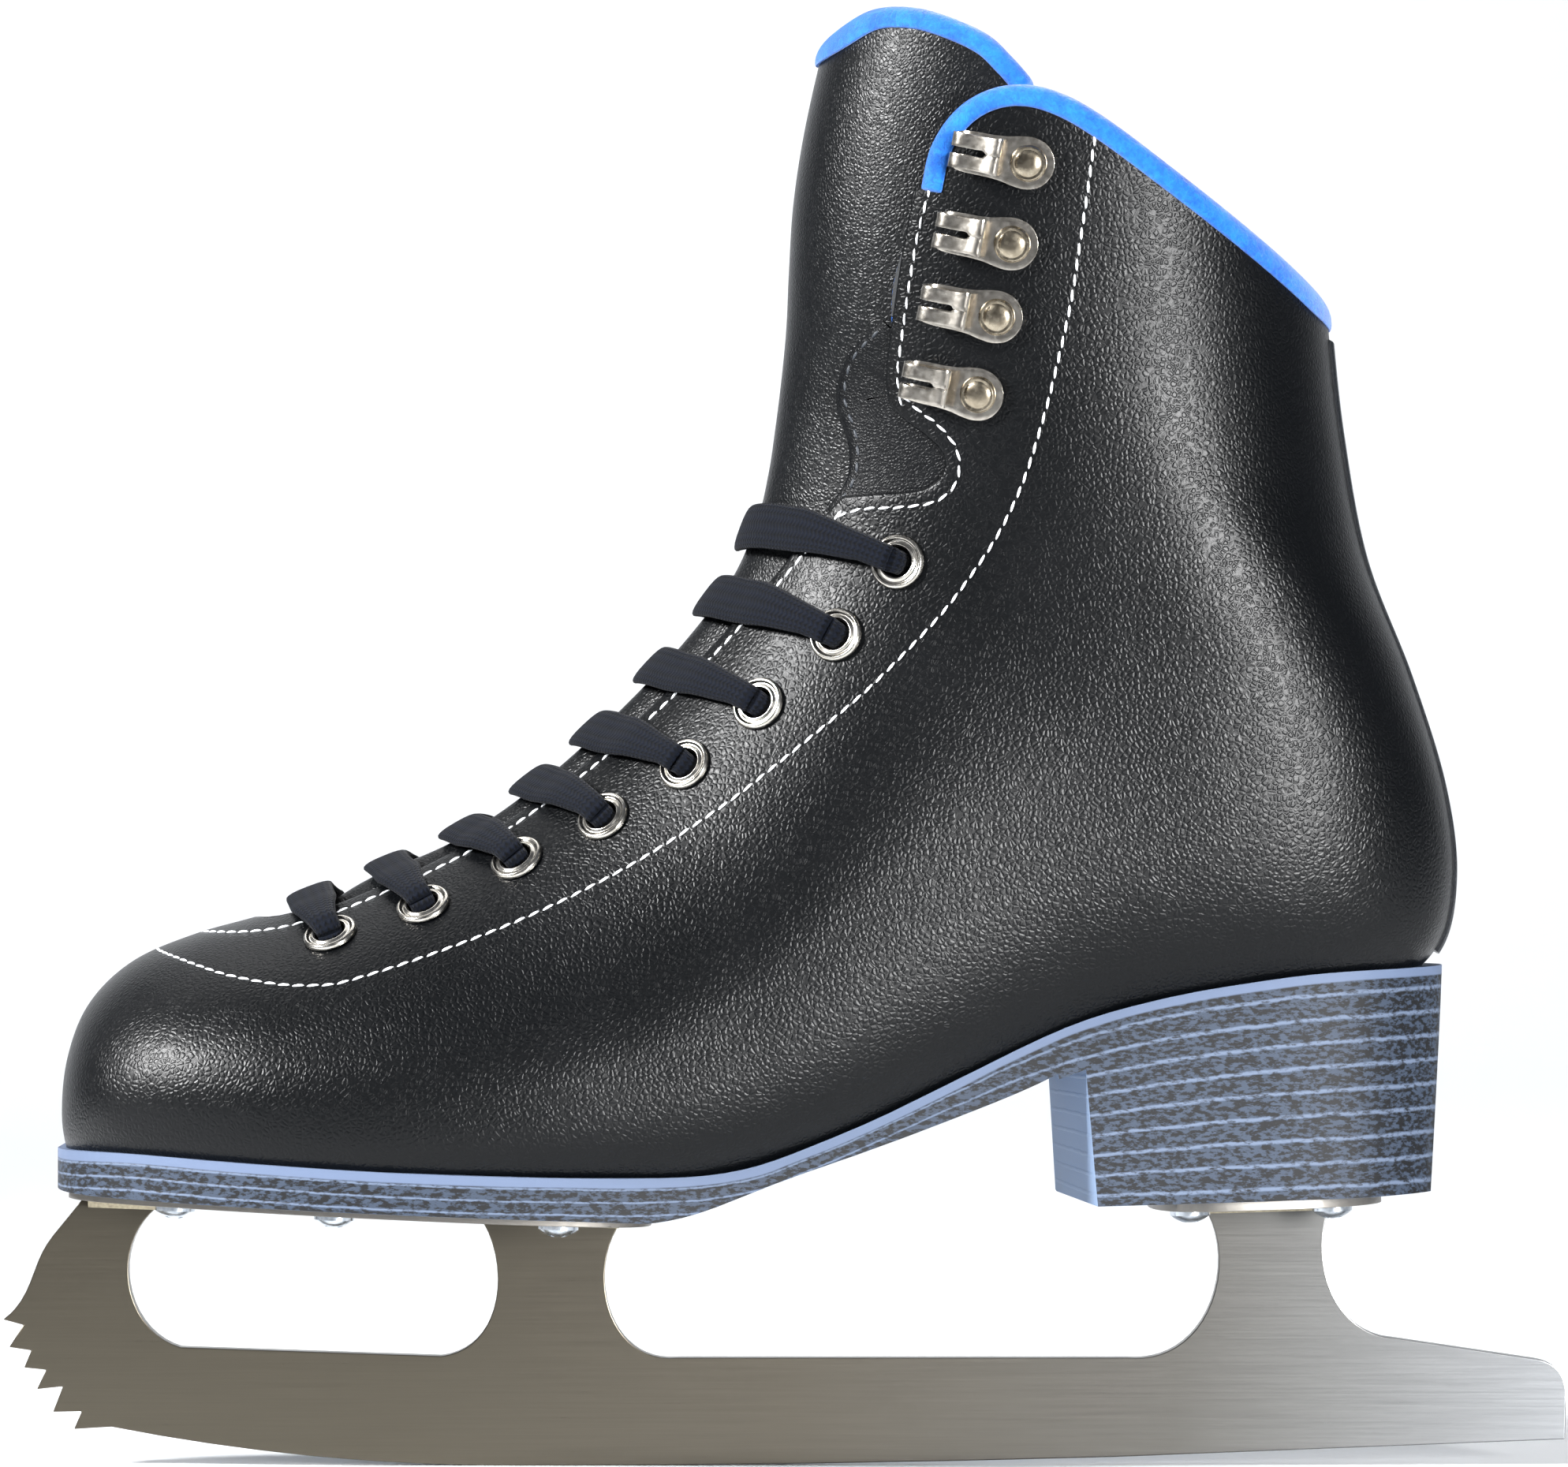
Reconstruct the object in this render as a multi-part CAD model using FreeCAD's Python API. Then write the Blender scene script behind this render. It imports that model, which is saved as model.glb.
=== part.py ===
"""A lace-up figure skate for the left foot: leather boot, moulded unit sole and screwed-on steel blade.

Millimetres. +Z is up and -X is towards the toe; the outer side of the foot is -Y. The origin is on the ice,
in the blade's own plane, halfway along the blade. The boot is built in layers on one form, the last, whose
cross-sections fan from the toe round the heel and up to the collar.
"""

import FreeCAD
import Part
import math
import os
from FreeCAD import Vector

# ---------------------------------------------------------------- driving dimensions

RUNNER_THICKNESS = 4.0
PLATE_THICKNESS = 1.8
TOE_SOLE_START = (-129.0, 50.2)   # underside of the sole at the toe
TOE_SOLE_SLOPE = -0.040
HEEL_SOLE_START = (58.0, 48.4)    # underside of the heel at its breast
HEEL_SOLE_SLOPE = 0.0286

LEATHER = 1.8                     # upper leather
INTERLAYER = 1.4                  # stiffeners, reinforcement and thin padding
COLLAR_PAD = 2.4                  # extra foam round the ankle and collar
LINING = 0.8
BINDING_HEIGHT = 4.0              # rolled felt edge round the collar
BINDING_PROUD = 0.9

INSOLE_BOARD = 2.2
FOOTBED = 3.6
WELT_MARGIN = 1.3                 # how far the sole stands out beyond the upper

EYELET_HOLE_R = 2.7
EYELET_FLANGE_R = 4.9
LACE_WIDTH = 8.4
LACE_THICKNESS = 1.5
LACE_FOLDED = 0.55                # the same lace pulled flat inside the facings
LACE_LAYER = 0.61                 # from one layer of it to the next
UNDER_WASHERS = 6.1               # depth of the first layer of lace inside the facings
TUCK_DEPTH = 5.0                  # how far the lace goes down an eyelet
AGLET_R = 1.5
SCREW_HEAD_R = 3.6
SCREW_SHANK_R = 1.9
BRAZE_SIZE = 1.6
BEVEL = 0.4                       # bevel along the top of each stanchion, which the brazing fills

HINGE_STATION = 13.96             # where the tongue starts to tip, just above the top lace
HINGE_GAP = 0.56                  # in stations, so that the tongue can also lean back a little
TONGUE_BOTTOM = 6.1

FAR = 400.0                       # larger than the object, for cutting shapes

# The last's cross-sections, from the toe tip round the heel to above the collar. Each is an oval in a plane
# through the front point and the back point: front x, z, back x, z, half width, place of the widest point
# from -1 at the back to 1 at the front, and the roundness of its front and back halves (2 is an ellipse).
SECTIONS = [
    (-129.3, 55.3, -127.4, 53.0, 10.0, 0.00, 2.2, 2.2),
    (-130.6, 63.5, -121.0, 52.0, 22.5, -0.10, 2.2, 2.4),
    (-129.6, 74.0, -112.5, 51.6, 31.0, -0.20, 2.2, 2.7),
    (-125.8, 83.5, -103.0, 51.0, 36.2, -0.28, 2.1, 3.0),
    (-118.0, 91.0, -92.0, 50.2, 40.0, -0.32, 2.0, 3.2),
    (-106.5, 96.0, -79.5, 49.4, 42.7, -0.34, 1.9, 3.3),
    (-92.0, 100.2, -65.5, 48.8, 44.4, -0.34, 1.8, 3.4),
    (-75.0, 106.8, -49.5, 48.2, 45.2, -0.34, 1.7, 3.4),
    (-58.5, 114.3, -31.5, 48.0, 44.8, -0.32, 1.65, 3.3),
    (-43.5, 124.8, -11.5, 48.8, 42.8, -0.28, 1.65, 3.2),
    (-30.5, 136.6, 10.0, 55.0, 40.2, -0.22, 1.68, 3.1),
    (-19.2, 148.5, 34.0, 66.4, 38.3, -0.15, 1.75, 3.1),
    (-10.0, 160.5, 61.0, 78.0, 37.2, -0.10, 1.85, 3.1),
    (-5.3, 171.0, 88.0, 83.4, 36.7, -0.08, 1.95, 3.1),
    (-3.2, 179.0, 107.0, 86.0, 36.6, -0.05, 2.0, 2.9),
    (-1.9, 186.5, 117.6, 93.5, 36.8, -0.02, 2.0, 2.7),
    (-0.7, 195.0, 120.6, 107.0, 37.2, 0.0, 2.0, 2.6),
    (0.3, 205.0, 118.6, 123.5, 37.9, 0.0, 2.05, 2.5),
    (0.8, 216.0, 112.6, 143.0, 38.6, 0.0, 2.1, 2.35),
    (1.6, 228.0, 104.6, 164.0, 39.4, 0.0, 2.1, 2.2),
    (3.6, 241.0, 100.4, 186.0, 40.4, 0.0, 2.1, 2.15),
    (7.0, 256.0, 98.2, 206.0, 41.8, 0.0, 2.1, 2.1),
    (11.5, 272.0, 96.8, 226.0, 43.2, 0.0, 2.1, 2.1),
]
LAST_STATION = len(SECTIONS) - 1

# Lines of the boot's side view, as (x, z).
FEATHER = [(-131.0, 57.6), (-117.0, 57.8), (-96.0, 56.6), (-68.0, 55.1), (-40.0, 54.2), (-18.5, 54.1),
           (-7.5, 55.3), (2.2, 58.4), (14.7, 63.4), (28.7, 70.0), (42.7, 76.9), (55.2, 82.0), (70.6, 85.9),
           (84.5, 88.2), (98.6, 89.8), (121.0, 90.6)]
WAIST_UNDERSIDE = [(-24.0, 46.0), (-15.8, 47.5), (-4.2, 51.8), (14.6, 58.4), (33.0, 65.2), (46.2, 70.7),
                   (54.6, 74.4)]
THROAT_EDGE = [(-94.0, 98.2), (-91.4, 97.8), (-86.0, 99.6), (-77.5, 102.6), (-64.5, 108.3), (-50.5, 115.9),
               (-36.5, 126.0), (-23.2, 137.4), (-12.6, 148.0), (-2.2, 159.4), (4.4, 167.2), (10.4, 173.8)]
NOTCH = [(21.8, 174.3), (27.6, 176.4), (29.2, 180.4), (26.2, 184.4)]
GUSSET_EDGE = [(13.8, 178.6), (14.2, 184.0), (11.9, 192.2), (13.6, 199.0), (19.2, 203.8)]
FLAP_FRONT = [(18.8, 190.6), (18.4, 196.0), (19.4, 204.5), (21.6, 219.0), (23.6, 228.0)]
COLLAR = [(23.6, 228.0), (25.4, 235.6), (29.3, 241.6), (34.6, 245.2), (41.0, 246.4), (48.0, 244.9),
          (56.3, 240.4), (70.2, 230.4), (84.5, 219.9), (93.4, 213.2), (101.5, 207.6)]
EYESTAY_LINE = [(-113.5, 93.9), (-104.5, 90.8), (-98.5, 89.2), (-89.6, 87.8), (-82.4, 87.7), (-76.6, 88.6),
                (-61.1, 93.6), (-44.0, 100.4), (-27.0, 109.0), (-11.4, 119.0), (-0.7, 127.2), (11.8, 137.4),
                (17.9, 143.0), (26.8, 152.2), (32.5, 159.4), (37.9, 167.6), (42.2, 176.8), (47.0, 193.4),
                (50.3, 207.5), (51.9, 218.0), (53.6, 229.0), (55.4, 243.0)]

TONGUE_TOP = [(-14.0, 248.6), (-3.0, 253.0), (7.6, 257.7), (14.9, 261.4), (21.7, 261.6), (28.0, 259.9),
              (35.4, 256.4), (39.6, 252.5), (43.7, 247.6), (52.0, 236.0)]

EYELETS = [(-80.7, 96.4), (-64.1, 101.6), (-47.5, 109.8), (-32.1, 117.3), (-17.6, 126.6), (-4.5, 137.4),
           (9.2, 149.6), (20.1, 162.5)]
LACE_CROWNS = [6.40, 7.20, 8.00, 8.82, 9.62, 10.58, 11.62, 12.72]   # stations where the lace tops the ridge
HOOK_RIVETS = [(34.4, 191.9), (37.6, 205.4), (40.2, 218.1), (43.0, 232.2)]
HOOK_TURN = 11.0                  # how far a hook's nose is tipped up, in degrees

TOE_SCREWS = [(-109.0, 12.5), (-80.0, 20.5), (-40.0, 22.0)]     # x and distance to each side
HEEL_SCREWS = [(72.5, 15.5), (98.0, 14.5)]


# ---------------------------------------------------------------- helpers

def save(name, shape):
    shape = shape.removeSplitter() if not shape.isValid() else shape
    print(name, "valid" if shape.isValid() else "NOT VALID", len(shape.Solids), round(shape.Volume / 1000, 2))
    shape.exportStep("parts/" + name + ".step")


def catmull(rows, s):
    """The row of numbers at place s along a list of rows, on a smooth curve through them."""
    i = min(int(s), len(rows) - 2)
    t = s - i
    b, c = rows[i], rows[i + 1]
    a = rows[i - 1] if i > 0 else [2 * p - q for p, q in zip(b, c)]
    d = rows[i + 2] if i + 2 < len(rows) else [2 * q - p for p, q in zip(b, c)]
    return [0.5 * (2 * q + (r - p) * t + (2 * p - 5 * q + 4 * r - w) * t * t + (3 * q - p - 3 * r + w) * t ** 3)
            for p, q, r, w in zip(a, b, c, d)]


def height_on(line, x):
    """z on a side-view line at x."""
    i = 0
    while i < len(line) - 2 and line[i + 1][0] < x:
        i += 1
    low, high = 0.0, 1.0
    for _ in range(30):
        middle = (low + high) / 2
        if catmull(line, i + middle)[0] < x:
            low = middle
        else:
            high = middle
    return catmull(line, i + low)[1]


def ramp(value, low, high):
    """0 below low, 1 above high, and smooth between."""
    t = min(1.0, max(0.0, (value - low) / (high - low)))
    return t * t * (3 - 2 * t)


def side_point(x, z):
    return Vector(x, 0, z)


def spline_edge(points):
    curve = Part.BSplineCurve()
    curve.interpolate([side_point(*p) for p in points])
    return curve.toShape()


def line_edge(a, b):
    return Part.makeLine(side_point(*a), side_point(*b))


def arc_edge(a, middle, b):
    return Part.Arc(side_point(*a), side_point(*middle), side_point(*b)).toShape()


def across(edges, half=FAR / 2):
    """A prism across the boot, from a closed outline in the side view."""
    face = Part.Face(Part.Wire(Part.__sortEdges__(edges)))
    face.translate(Vector(0, -half, 0))
    return face.extrude(Vector(0, 2 * half, 0))


def polygon_edges(points):
    return [line_edge(a, b) for a, b in zip(points, points[1:] + points[:1])]


def surface(grid):
    patch = Part.BSplineSurface()
    patch.interpolate(grid)
    return patch


def closed_solid(faces):
    shell = Part.Shell(faces)
    shell.sewShape()
    solid = Part.Solid(shell)
    if solid.Volume < 0:
        solid.reverse()
    return solid


def slab(point, u_span, v_span, depths, nu, nv):
    """A sheet of a boot material: point(u, v, depth) between two depths, as one closed solid."""
    def grid(depth):
        return [[point(u_span[0] + (u_span[1] - u_span[0]) * i / nu,
                       v_span[0] + (v_span[1] - v_span[0]) * j / nv, depth)
                 for j in range(nv + 1)] for i in range(nu + 1)]

    top, bottom = surface(grid(depths[0])), surface(grid(depths[1]))
    u0, u1, v0, v1 = top.bounds()
    faces = [top.toShape(), bottom.toShape()]
    for at in (u0, u1):
        faces.append(Part.makeRuledSurface(top.uIso(at).toShape(), bottom.uIso(at).toShape()))
    for at in (v0, v1):
        faces.append(Part.makeRuledSurface(top.vIso(at).toShape(), bottom.vIso(at).toShape()))
    return closed_solid(faces)


# ---------------------------------------------------------------- the last

def swing(x):
    """How far the last bends towards the inner side of the foot at x."""
    toe = max(0.0, (-55.0 - x) / 75.0)
    return 6.0 * toe ** 2 - 2.0 * math.exp(-((x - 12.0) / 32.0) ** 2)


def pad_weight(s, a):
    """Where the ankle padding is at its full thickness: round the ankle and collar, but not at the facing."""
    return ramp(s, 13.6, 16.5) * ramp(a, 0.95, 1.35)


def straight_point(s, a, inset=0.0, side=-1, pad=0.0):
    """A point of the last, before its swing, at station s and angle a: 0 at the front and pi at the back."""
    fx, fz, bx, bz, width, widest, front, back = catmull(SECTIONS, s)
    inset += pad * pad_weight(s, a)
    length = math.hypot(fx - bx, fz - bz)
    ux, uz = (fx - bx) / length, (fz - bz) / length
    half, width = length / 2 - inset, width - inset
    power = front if a <= math.pi / 2 else back
    cosine, sine = math.cos(a), max(math.sin(a), 0.0)
    reach = 1 - widest if cosine > 0 else 1 + widest
    p = widest + reach * math.copysign(abs(cosine) ** (2 / power), cosine)
    q = width * sine ** (2 / power)
    return Vector((fx + bx) / 2 + ux * half * p, side * q, (fz + bz) / 2 + uz * half * p)


def last_point(s, a, inset=0.0, side=-1, pad=0.0):
    p = straight_point(s, a, inset, side, pad)
    return Vector(p.x, p.y + swing(p.x), p.z)


def last_normal(s, a, side=-1):
    """The outward normal of the last."""
    d = 0.01
    along = last_point(s + d, a, side=side) - last_point(s - d, a, side=side)
    around = last_point(s, a + d, side=side) - last_point(s, a - d, side=side)
    n = along.cross(around).normalize()
    return n if n.y * side > 0 else n * -1


def last_solid(inset, first, pad=0.0, around=22, along=62):
    """The last as a solid, shrunk by inset, from station first to its top.

    Each side is shaped straight, with its middle line on y = 0, and then bent to the foot's swing. That way
    the two sides meet exactly.
    """
    patches = []
    for side in (-1, 1):
        patch = surface([[straight_point(first + (LAST_STATION - first) * i / along, math.pi * j / around,
                                         inset, side, pad) for j in range(around + 1)]
                         for i in range(along + 1)])
        for i in range(1, patch.NbUPoles + 1):
            for j in range(1, patch.NbVPoles + 1):
                pole = patch.getPole(i, j)
                patch.setPole(i, j, Vector(pole.x, pole.y + swing(pole.x), pole.z))
        patches.append(patch)
    faces = [patch.toShape() for patch in patches]
    for end in patches[0].bounds()[:2]:
        faces.append(Part.Face(Part.Wire([patch.uIso(end).toShape() for patch in patches])))
    return closed_solid(faces)


def on_last(x, z):
    """Station and angle of the outer side's point whose side view is (x, z)."""
    best = None
    for i in range(4 * LAST_STATION + 1):
        for j in range(3, 36):
            p = last_point(i / 4, math.pi * j / 38)
            gap = (p.x - x) ** 2 + (p.z - z) ** 2
            if best is None or gap < best[0]:
                best = (gap, i / 4, math.pi * j / 38)
    s, a = best[1:]
    d = 1e-4
    for _ in range(12):
        p, ps, pa = last_point(s, a), last_point(s + d, a), last_point(s, a + d)
        j11, j12 = (ps.x - p.x) / d, (pa.x - p.x) / d
        j21, j22 = (ps.z - p.z) / d, (pa.z - p.z) / d
        determinant = j11 * j22 - j12 * j21
        ex, ez = x - p.x, z - p.z
        s += (ex * j22 - ez * j12) / determinant
        a += (ez * j11 - ex * j21) / determinant
    return s, a


def placed(shape, s, a, side, lift=0.0, turn=0.0):
    """A fitting made at the origin, pointing out along +Z, set on the last. Its +X points to the boot's front."""
    normal = last_normal(s, a, side)
    base = last_point(s, a, side=side) + normal * lift
    nose = Vector(-math.cos(math.radians(turn)), 0, math.sin(math.radians(turn)))
    x_axis = (nose - normal * nose.dot(normal)).normalize()
    y_axis = normal.cross(x_axis)
    matrix = FreeCAD.Matrix(x_axis.x, y_axis.x, normal.x, base.x,
                            x_axis.y, y_axis.y, normal.y, base.y,
                            x_axis.z, y_axis.z, normal.z, base.z, 0, 0, 0, 1)
    copy = shape.copy()
    copy.Placement = FreeCAD.Placement(matrix)
    return copy


# ---------------------------------------------------------------- blade

def toe_underside(x):
    return TOE_SOLE_START[1] + TOE_SOLE_SLOPE * (x - TOE_SOLE_START[0])


def heel_underside(x):
    return HEEL_SOLE_START[1] + HEEL_SOLE_SLOPE * (x - HEEL_SOLE_START[0])


STANCHIONS = [(-125.6, -113.0, toe_underside), (-54.6, -29.8, toe_underside), (76.4, 98.2, heel_underside)]


def blade_runner():
    """One 4 mm steel sheet: runner, toe pick, and the toe and heel stanchions."""
    def toe_top(x):
        return (x, toe_underside(x) - PLATE_THICKNESS)

    def heel_top(x):
        return (x, heel_underside(x) - PLATE_THICKNESS)

    teeth = [(-141.0, 26.4), (-137.3, 25.4), (-139.9, 21.4), (-135.9, 20.8), (-137.2, 17.7), (-133.2, 17.3),
             (-134.9, 13.8), (-130.2, 14.3), (-132.0, 9.7), (-126.8, 9.8), (-128.2, 6.6), (-121.4, 7.0)]
    edges = [spline_edge([toe_top(-126.6), (-130.0, 44.0), (-133.6, 39.2), (-136.6, 32.0), teeth[0]])]
    edges += [line_edge(a, b) for a, b in zip(teeth, teeth[1:])]
    edges += [arc_edge(teeth[-1], (-85.0, 1.71), (-49.0, 0.0)),
              arc_edge((-49.0, 0.0), (46.0, 1.2), (141.0, 4.79)),
              line_edge((141.0, 4.79), (141.2, 13.5)),
              spline_edge([(141.2, 13.5), (140.0, 17.0), (135.5, 19.3)]),
              line_edge((135.5, 19.3), (107.8, 23.4)),
              spline_edge([(107.8, 23.4), (101.2, 27.6), (97.4, 37.0), heel_top(98.9)]),
              line_edge(heel_top(98.9), heel_top(75.6)),
              spline_edge([heel_top(75.6), (78.4, 35.0), (73.8, 24.0), (62.2, 19.5)]),
              line_edge((62.2, 19.5), (-19.1, 19.5)),
              spline_edge([(-19.1, 19.5), (-28.6, 23.0), (-32.4, 34.0), toe_top(-29.0)]),
              line_edge(toe_top(-29.0), toe_top(-55.4)),
              spline_edge([toe_top(-55.4), (-51.7, 33.0), (-54.6, 23.9), (-61.9, 19.8)]),
              line_edge((-61.9, 19.8), (-108.9, 21.4)),
              spline_edge([(-108.9, 21.4), (-115.6, 26.2), (-118.4, 36.0), toe_top(-111.6)]),
              line_edge(toe_top(-111.6), toe_top(-126.6))]
    sheet = across(edges, RUNNER_THICKNESS / 2)
    for x0, x1, underside in STANCHIONS:
        for bevel in along_stanchion(x0 - 4.0, x1 + 4.0, underside, -BEVEL, 0.0, 0.01):
            sheet = sheet.cut(bevel)
    return sheet


def along_stanchion(x0, x1, underside, inner, outer, over=0.0):
    """Three-sided bars along both sides of a stanchion, under its plate, from inner to outer of its face."""
    half = RUNNER_THICKNESS / 2
    bars = []
    for side in (-1, 1):
        ends = []
        for x in (x0, x1):
            z = underside(x) - PLATE_THICKNESS
            corner = [Vector(x, side * (half + inner), z + over), Vector(x, side * (half + outer), z + over),
                      Vector(x, side * half, z - BRAZE_SIZE)]
            ends.append(Part.makePolygon(corner + corner[:1]))
        bars.append(Part.makeLoft(ends, True, True))
    return bars


def plan_outline(half_points, end_line):
    """A closed outline in plan: a curve down one side, mirrored, and a straight line across its far end."""
    side = Part.BSplineCurve()
    mirrored = [Vector(x, -y, 0) for x, y in reversed(half_points[1:])]
    side.interpolate(mirrored + [Vector(x, y, 0) for x, y in half_points])
    edges = [side.toShape()]
    if end_line:
        x, y = half_points[-1]
        edges.append(Part.makeLine(Vector(x, y, 0), Vector(x, -y, 0)))
    return Part.Face(Part.Wire(edges))


def screw_places(pattern):
    return [(x, side * y) for x, y in pattern for side in (-1, 1)]


def plate(outline, start, slope, holes, slots):
    """A mounting plate: pressed sheet, tilted to lie on the sole, with round screw holes and slots."""
    blank = outline.extrude(Vector(0, 0, PLATE_THICKNESS))
    for x, y in holes:
        blank = blank.cut(Part.makeCylinder(SCREW_SHANK_R + 0.25, 10, Vector(x, y, -3)))
    for x, y, length, radius in slots:
        ends = [Part.makeCylinder(radius, 10, Vector(x + d, y, -3)) for d in (-length / 2, length / 2)]
        middle = Part.makeBox(length, 2 * radius, 10, Vector(x - length / 2, y - radius, -3))
        blank = blank.cut(ends[0].fuse([ends[1], middle]))
    return tilted(blank, start, slope, -PLATE_THICKNESS)


def tilted(shape, start, slope, rise=0.0):
    """Lays a flat shape, made on z = 0, against a sloping underside of the sole."""
    shape = shape.copy()
    shape.translate(Vector(0, 0, rise))
    shape.rotate(Vector(start[0], 0, 0), Vector(0, 1, 0), -math.degrees(math.atan(slope)))
    shape.translate(Vector(0, 0, start[1]))
    return shape


def toe_plate():
    outline = plan_outline([(-129.2, 0.0), (-126.0, 8.5), (-112.0, 17.5), (-90.0, 25.0), (-62.0, 29.4),
                            (-40.0, 28.6), (-28.0, 24.0), (-23.6, 15.0)], True)
    slots = [(-94.0, side * 13.0, 9.0, 2.6) for side in (-1, 1)]
    slots += [(-61.0, side * 16.0, 14.0, 3.2) for side in (-1, 1)]
    return plate(outline, TOE_SOLE_START, TOE_SOLE_SLOPE, screw_places(TOE_SCREWS), slots)


def heel_plate():
    outline = plan_outline([(65.6, 0.0), (67.0, 14.0), (71.5, 21.5), (84.0, 23.5), (96.0, 21.5), (105.0, 14.5),
                            (107.4, 6.0)], True)
    slots = [(85.0, side * 13.0, 5.0, 2.6) for side in (-1, 1)]
    return plate(outline, HEEL_SOLE_START, HEEL_SOLE_SLOPE, screw_places(HEEL_SCREWS), slots)


def screws(pattern, start, slope, length):
    """Pan-head screws with a cross recess, driven up through a plate into the sole."""
    made = []
    for x, y in screw_places(pattern):
        head = Part.makeSphere(5.2, Vector(0, 0, -PLATE_THICKNESS + 2.9))
        head = head.common(Part.makeCylinder(SCREW_HEAD_R, 2.3, Vector(0, 0, -PLATE_THICKNESS - 2.3)))
        for turn in (0, 90):
            slot = Part.makeBox(4.2, 0.9, 1.3, Vector(-2.1, -0.45, -PLATE_THICKNESS - 2.3))
            slot.rotate(Vector(0, 0, 0), Vector(0, 0, 1), 45 + turn)
            head = head.cut(slot)
        shank = Part.makeCylinder(SCREW_SHANK_R, length, Vector(0, 0, -PLATE_THICKNESS))
        point = Part.makeCone(SCREW_SHANK_R, 0.4, 2.5, Vector(0, 0, length - PLATE_THICKNESS))
        screw = head.fuse([shank, point])
        screw.translate(Vector(x, y, 0))
        made.append(tilted(screw, start, slope))
    return made


# ---------------------------------------------------------------- sole

def feather_outline(margin):
    """The outline, in plan, of the last where it meets the sole, grown by margin. One closed curve."""
    sides = {-1: [], 1: []}
    stations = [0.55, 1.1, 2.0, 3.0, 4.0, 5.0, 6.0, 7.0, 8.0, 9.0, 10.0, 11.0, 12.0, 12.8, 13.5, 14.1, 14.5]
    for s in stations:
        low, high = 0.0, math.pi
        for _ in range(40):
            a = (low + high) / 2
            p = last_point(s, a)
            if p.z > height_on(FEATHER, p.x):
                low = a
            else:
                high = a
        for side in (-1, 1):
            p = last_point(s, low, side=side)
            sides[side].append(Vector(p.x, p.y, 0))
    toe = Vector(-130.2, swing(-130.2), 0)
    heel = Vector(117.6, 0, 0)
    ring = [toe] + sides[1] + [heel] + sides[-1][::-1]
    grown = []
    for i, p in enumerate(ring):
        tangent = (ring[(i + 1) % len(ring)] - ring[i - 1]).normalize()
        grown.append(p + Vector(-tangent.y, tangent.x, 0) * margin)
    curve = Part.BSplineCurve()
    curve.interpolate(grown, PeriodicFlag=True)
    return Part.Face(Part.Wire(curve.toShape()))


def sampled(line, x0, x1, rise=0.0, count=26):
    return [(x0 + (x1 - x0) * i / count, height_on(line, x0 + (x1 - x0) * i / count) + rise)
            for i in range(count + 1)]


def band(rise0, rise1, x0=-140.0, x1=130.0):
    """A prism between two lines that follow the top of the sole."""
    x0, x1 = max(x0, FEATHER[0][0]), min(x1, FEATHER[-1][0])
    low, high = sampled(FEATHER, x0, x1, rise0), sampled(FEATHER, x0, x1, rise1)
    return across([spline_edge(low), line_edge(low[-1], high[-1]), spline_edge(high), line_edge(high[0], low[0])])


def unit_sole():
    """One moulding: forepart, waist and heel. The heel's breast runs further forward on the inner side."""
    top = sampled(FEATHER, -131.0, 121.0)
    toe_low = (-131.0, toe_underside(-131.0))
    toe_high = top[0]
    edges = [spline_edge(top), line_edge(top[-1], (121.0, heel_underside(121.0))),
             line_edge((121.0, heel_underside(121.0)), (50.0, heel_underside(50.0))),
             line_edge((50.0, heel_underside(50.0)), (48.6, 71.9)),
             spline_edge([(48.6, 71.9)] + WAIST_UNDERSIDE[-2::-1]),
             line_edge(WAIST_UNDERSIDE[0], toe_low), line_edge(toe_low, toe_high)]
    outline = feather_outline(WELT_MARGIN)
    outline.translate(Vector(0, 0, 20))
    body = across(edges).common(outline.extrude(Vector(0, 0, 90)))
    breast = Part.makeBox(40, 120, 60, Vector(-40, -60, 0))
    breast.rotate(Vector(0, 0, 0), Vector(0, 1, 0), -5.0)
    breast.rotate(Vector(0, 0, 0), Vector(0, 0, 1), 6.5)
    breast.translate(Vector(54.6, 0, 24.0))
    body = body.cut(breast.common(across(polygon_edges([(20, 30), (70, 30), (70, 78.5), (45, 69.6), (20, 60)]))))
    back_taper = Part.makeBox(40, 120, 60, Vector(0, -60, 0))
    back_taper.rotate(Vector(0, 0, 0), Vector(0, 1, 0), 3.8)
    back_taper.translate(Vector(115.4, 0, 40.0))
    body = body.cut(back_taper)
    for pattern, start, slope in ((TOE_SCREWS, TOE_SOLE_START, TOE_SOLE_SLOPE),
                                  (HEEL_SCREWS, HEEL_SOLE_START, HEEL_SOLE_SLOPE)):
        depth = 7.3 if pattern is TOE_SCREWS else 20.5
        for x, y in screw_places(pattern):
            hole = Part.makeCylinder(SCREW_SHANK_R + 0.03, depth, Vector(x, y, -1))
            body = body.cut(tilted(hole, start, slope))
    return body.cut(shank_blank(0.1))


def shank_blank(clearance=0.0):
    """The spring-steel strip that stiffens the waist, let into the top of the sole."""
    strip = band(-1.6 - clearance, 0.5 if clearance else -0.1, -22.0 - clearance, 78.0 + clearance)
    half = 6.0 + clearance
    return strip.common(Part.makeBox(FAR, 2 * half, FAR, Vector(-FAR / 2, -half - 1.0, 0)))


# ---------------------------------------------------------------- upper

def above_edge(opening):
    """Everything in front of and above an opening line that runs from the toe to the back of the collar."""
    edges = []
    for stretch in opening:
        edges.append(spline_edge(stretch) if len(stretch) > 2 else line_edge(*stretch))
    first, last = opening[0][0], opening[-1][-1]
    edges += [line_edge(a, b) for a, b in zip([last, (160.0, last[1]), (160.0, 330.0), (-160.0, 330.0),
                                               (-160.0, 140.0)],
                                              [(160.0, last[1]), (160.0, 330.0), (-160.0, 330.0),
                                               (-160.0, 140.0), first])]
    return across(edges)


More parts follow.
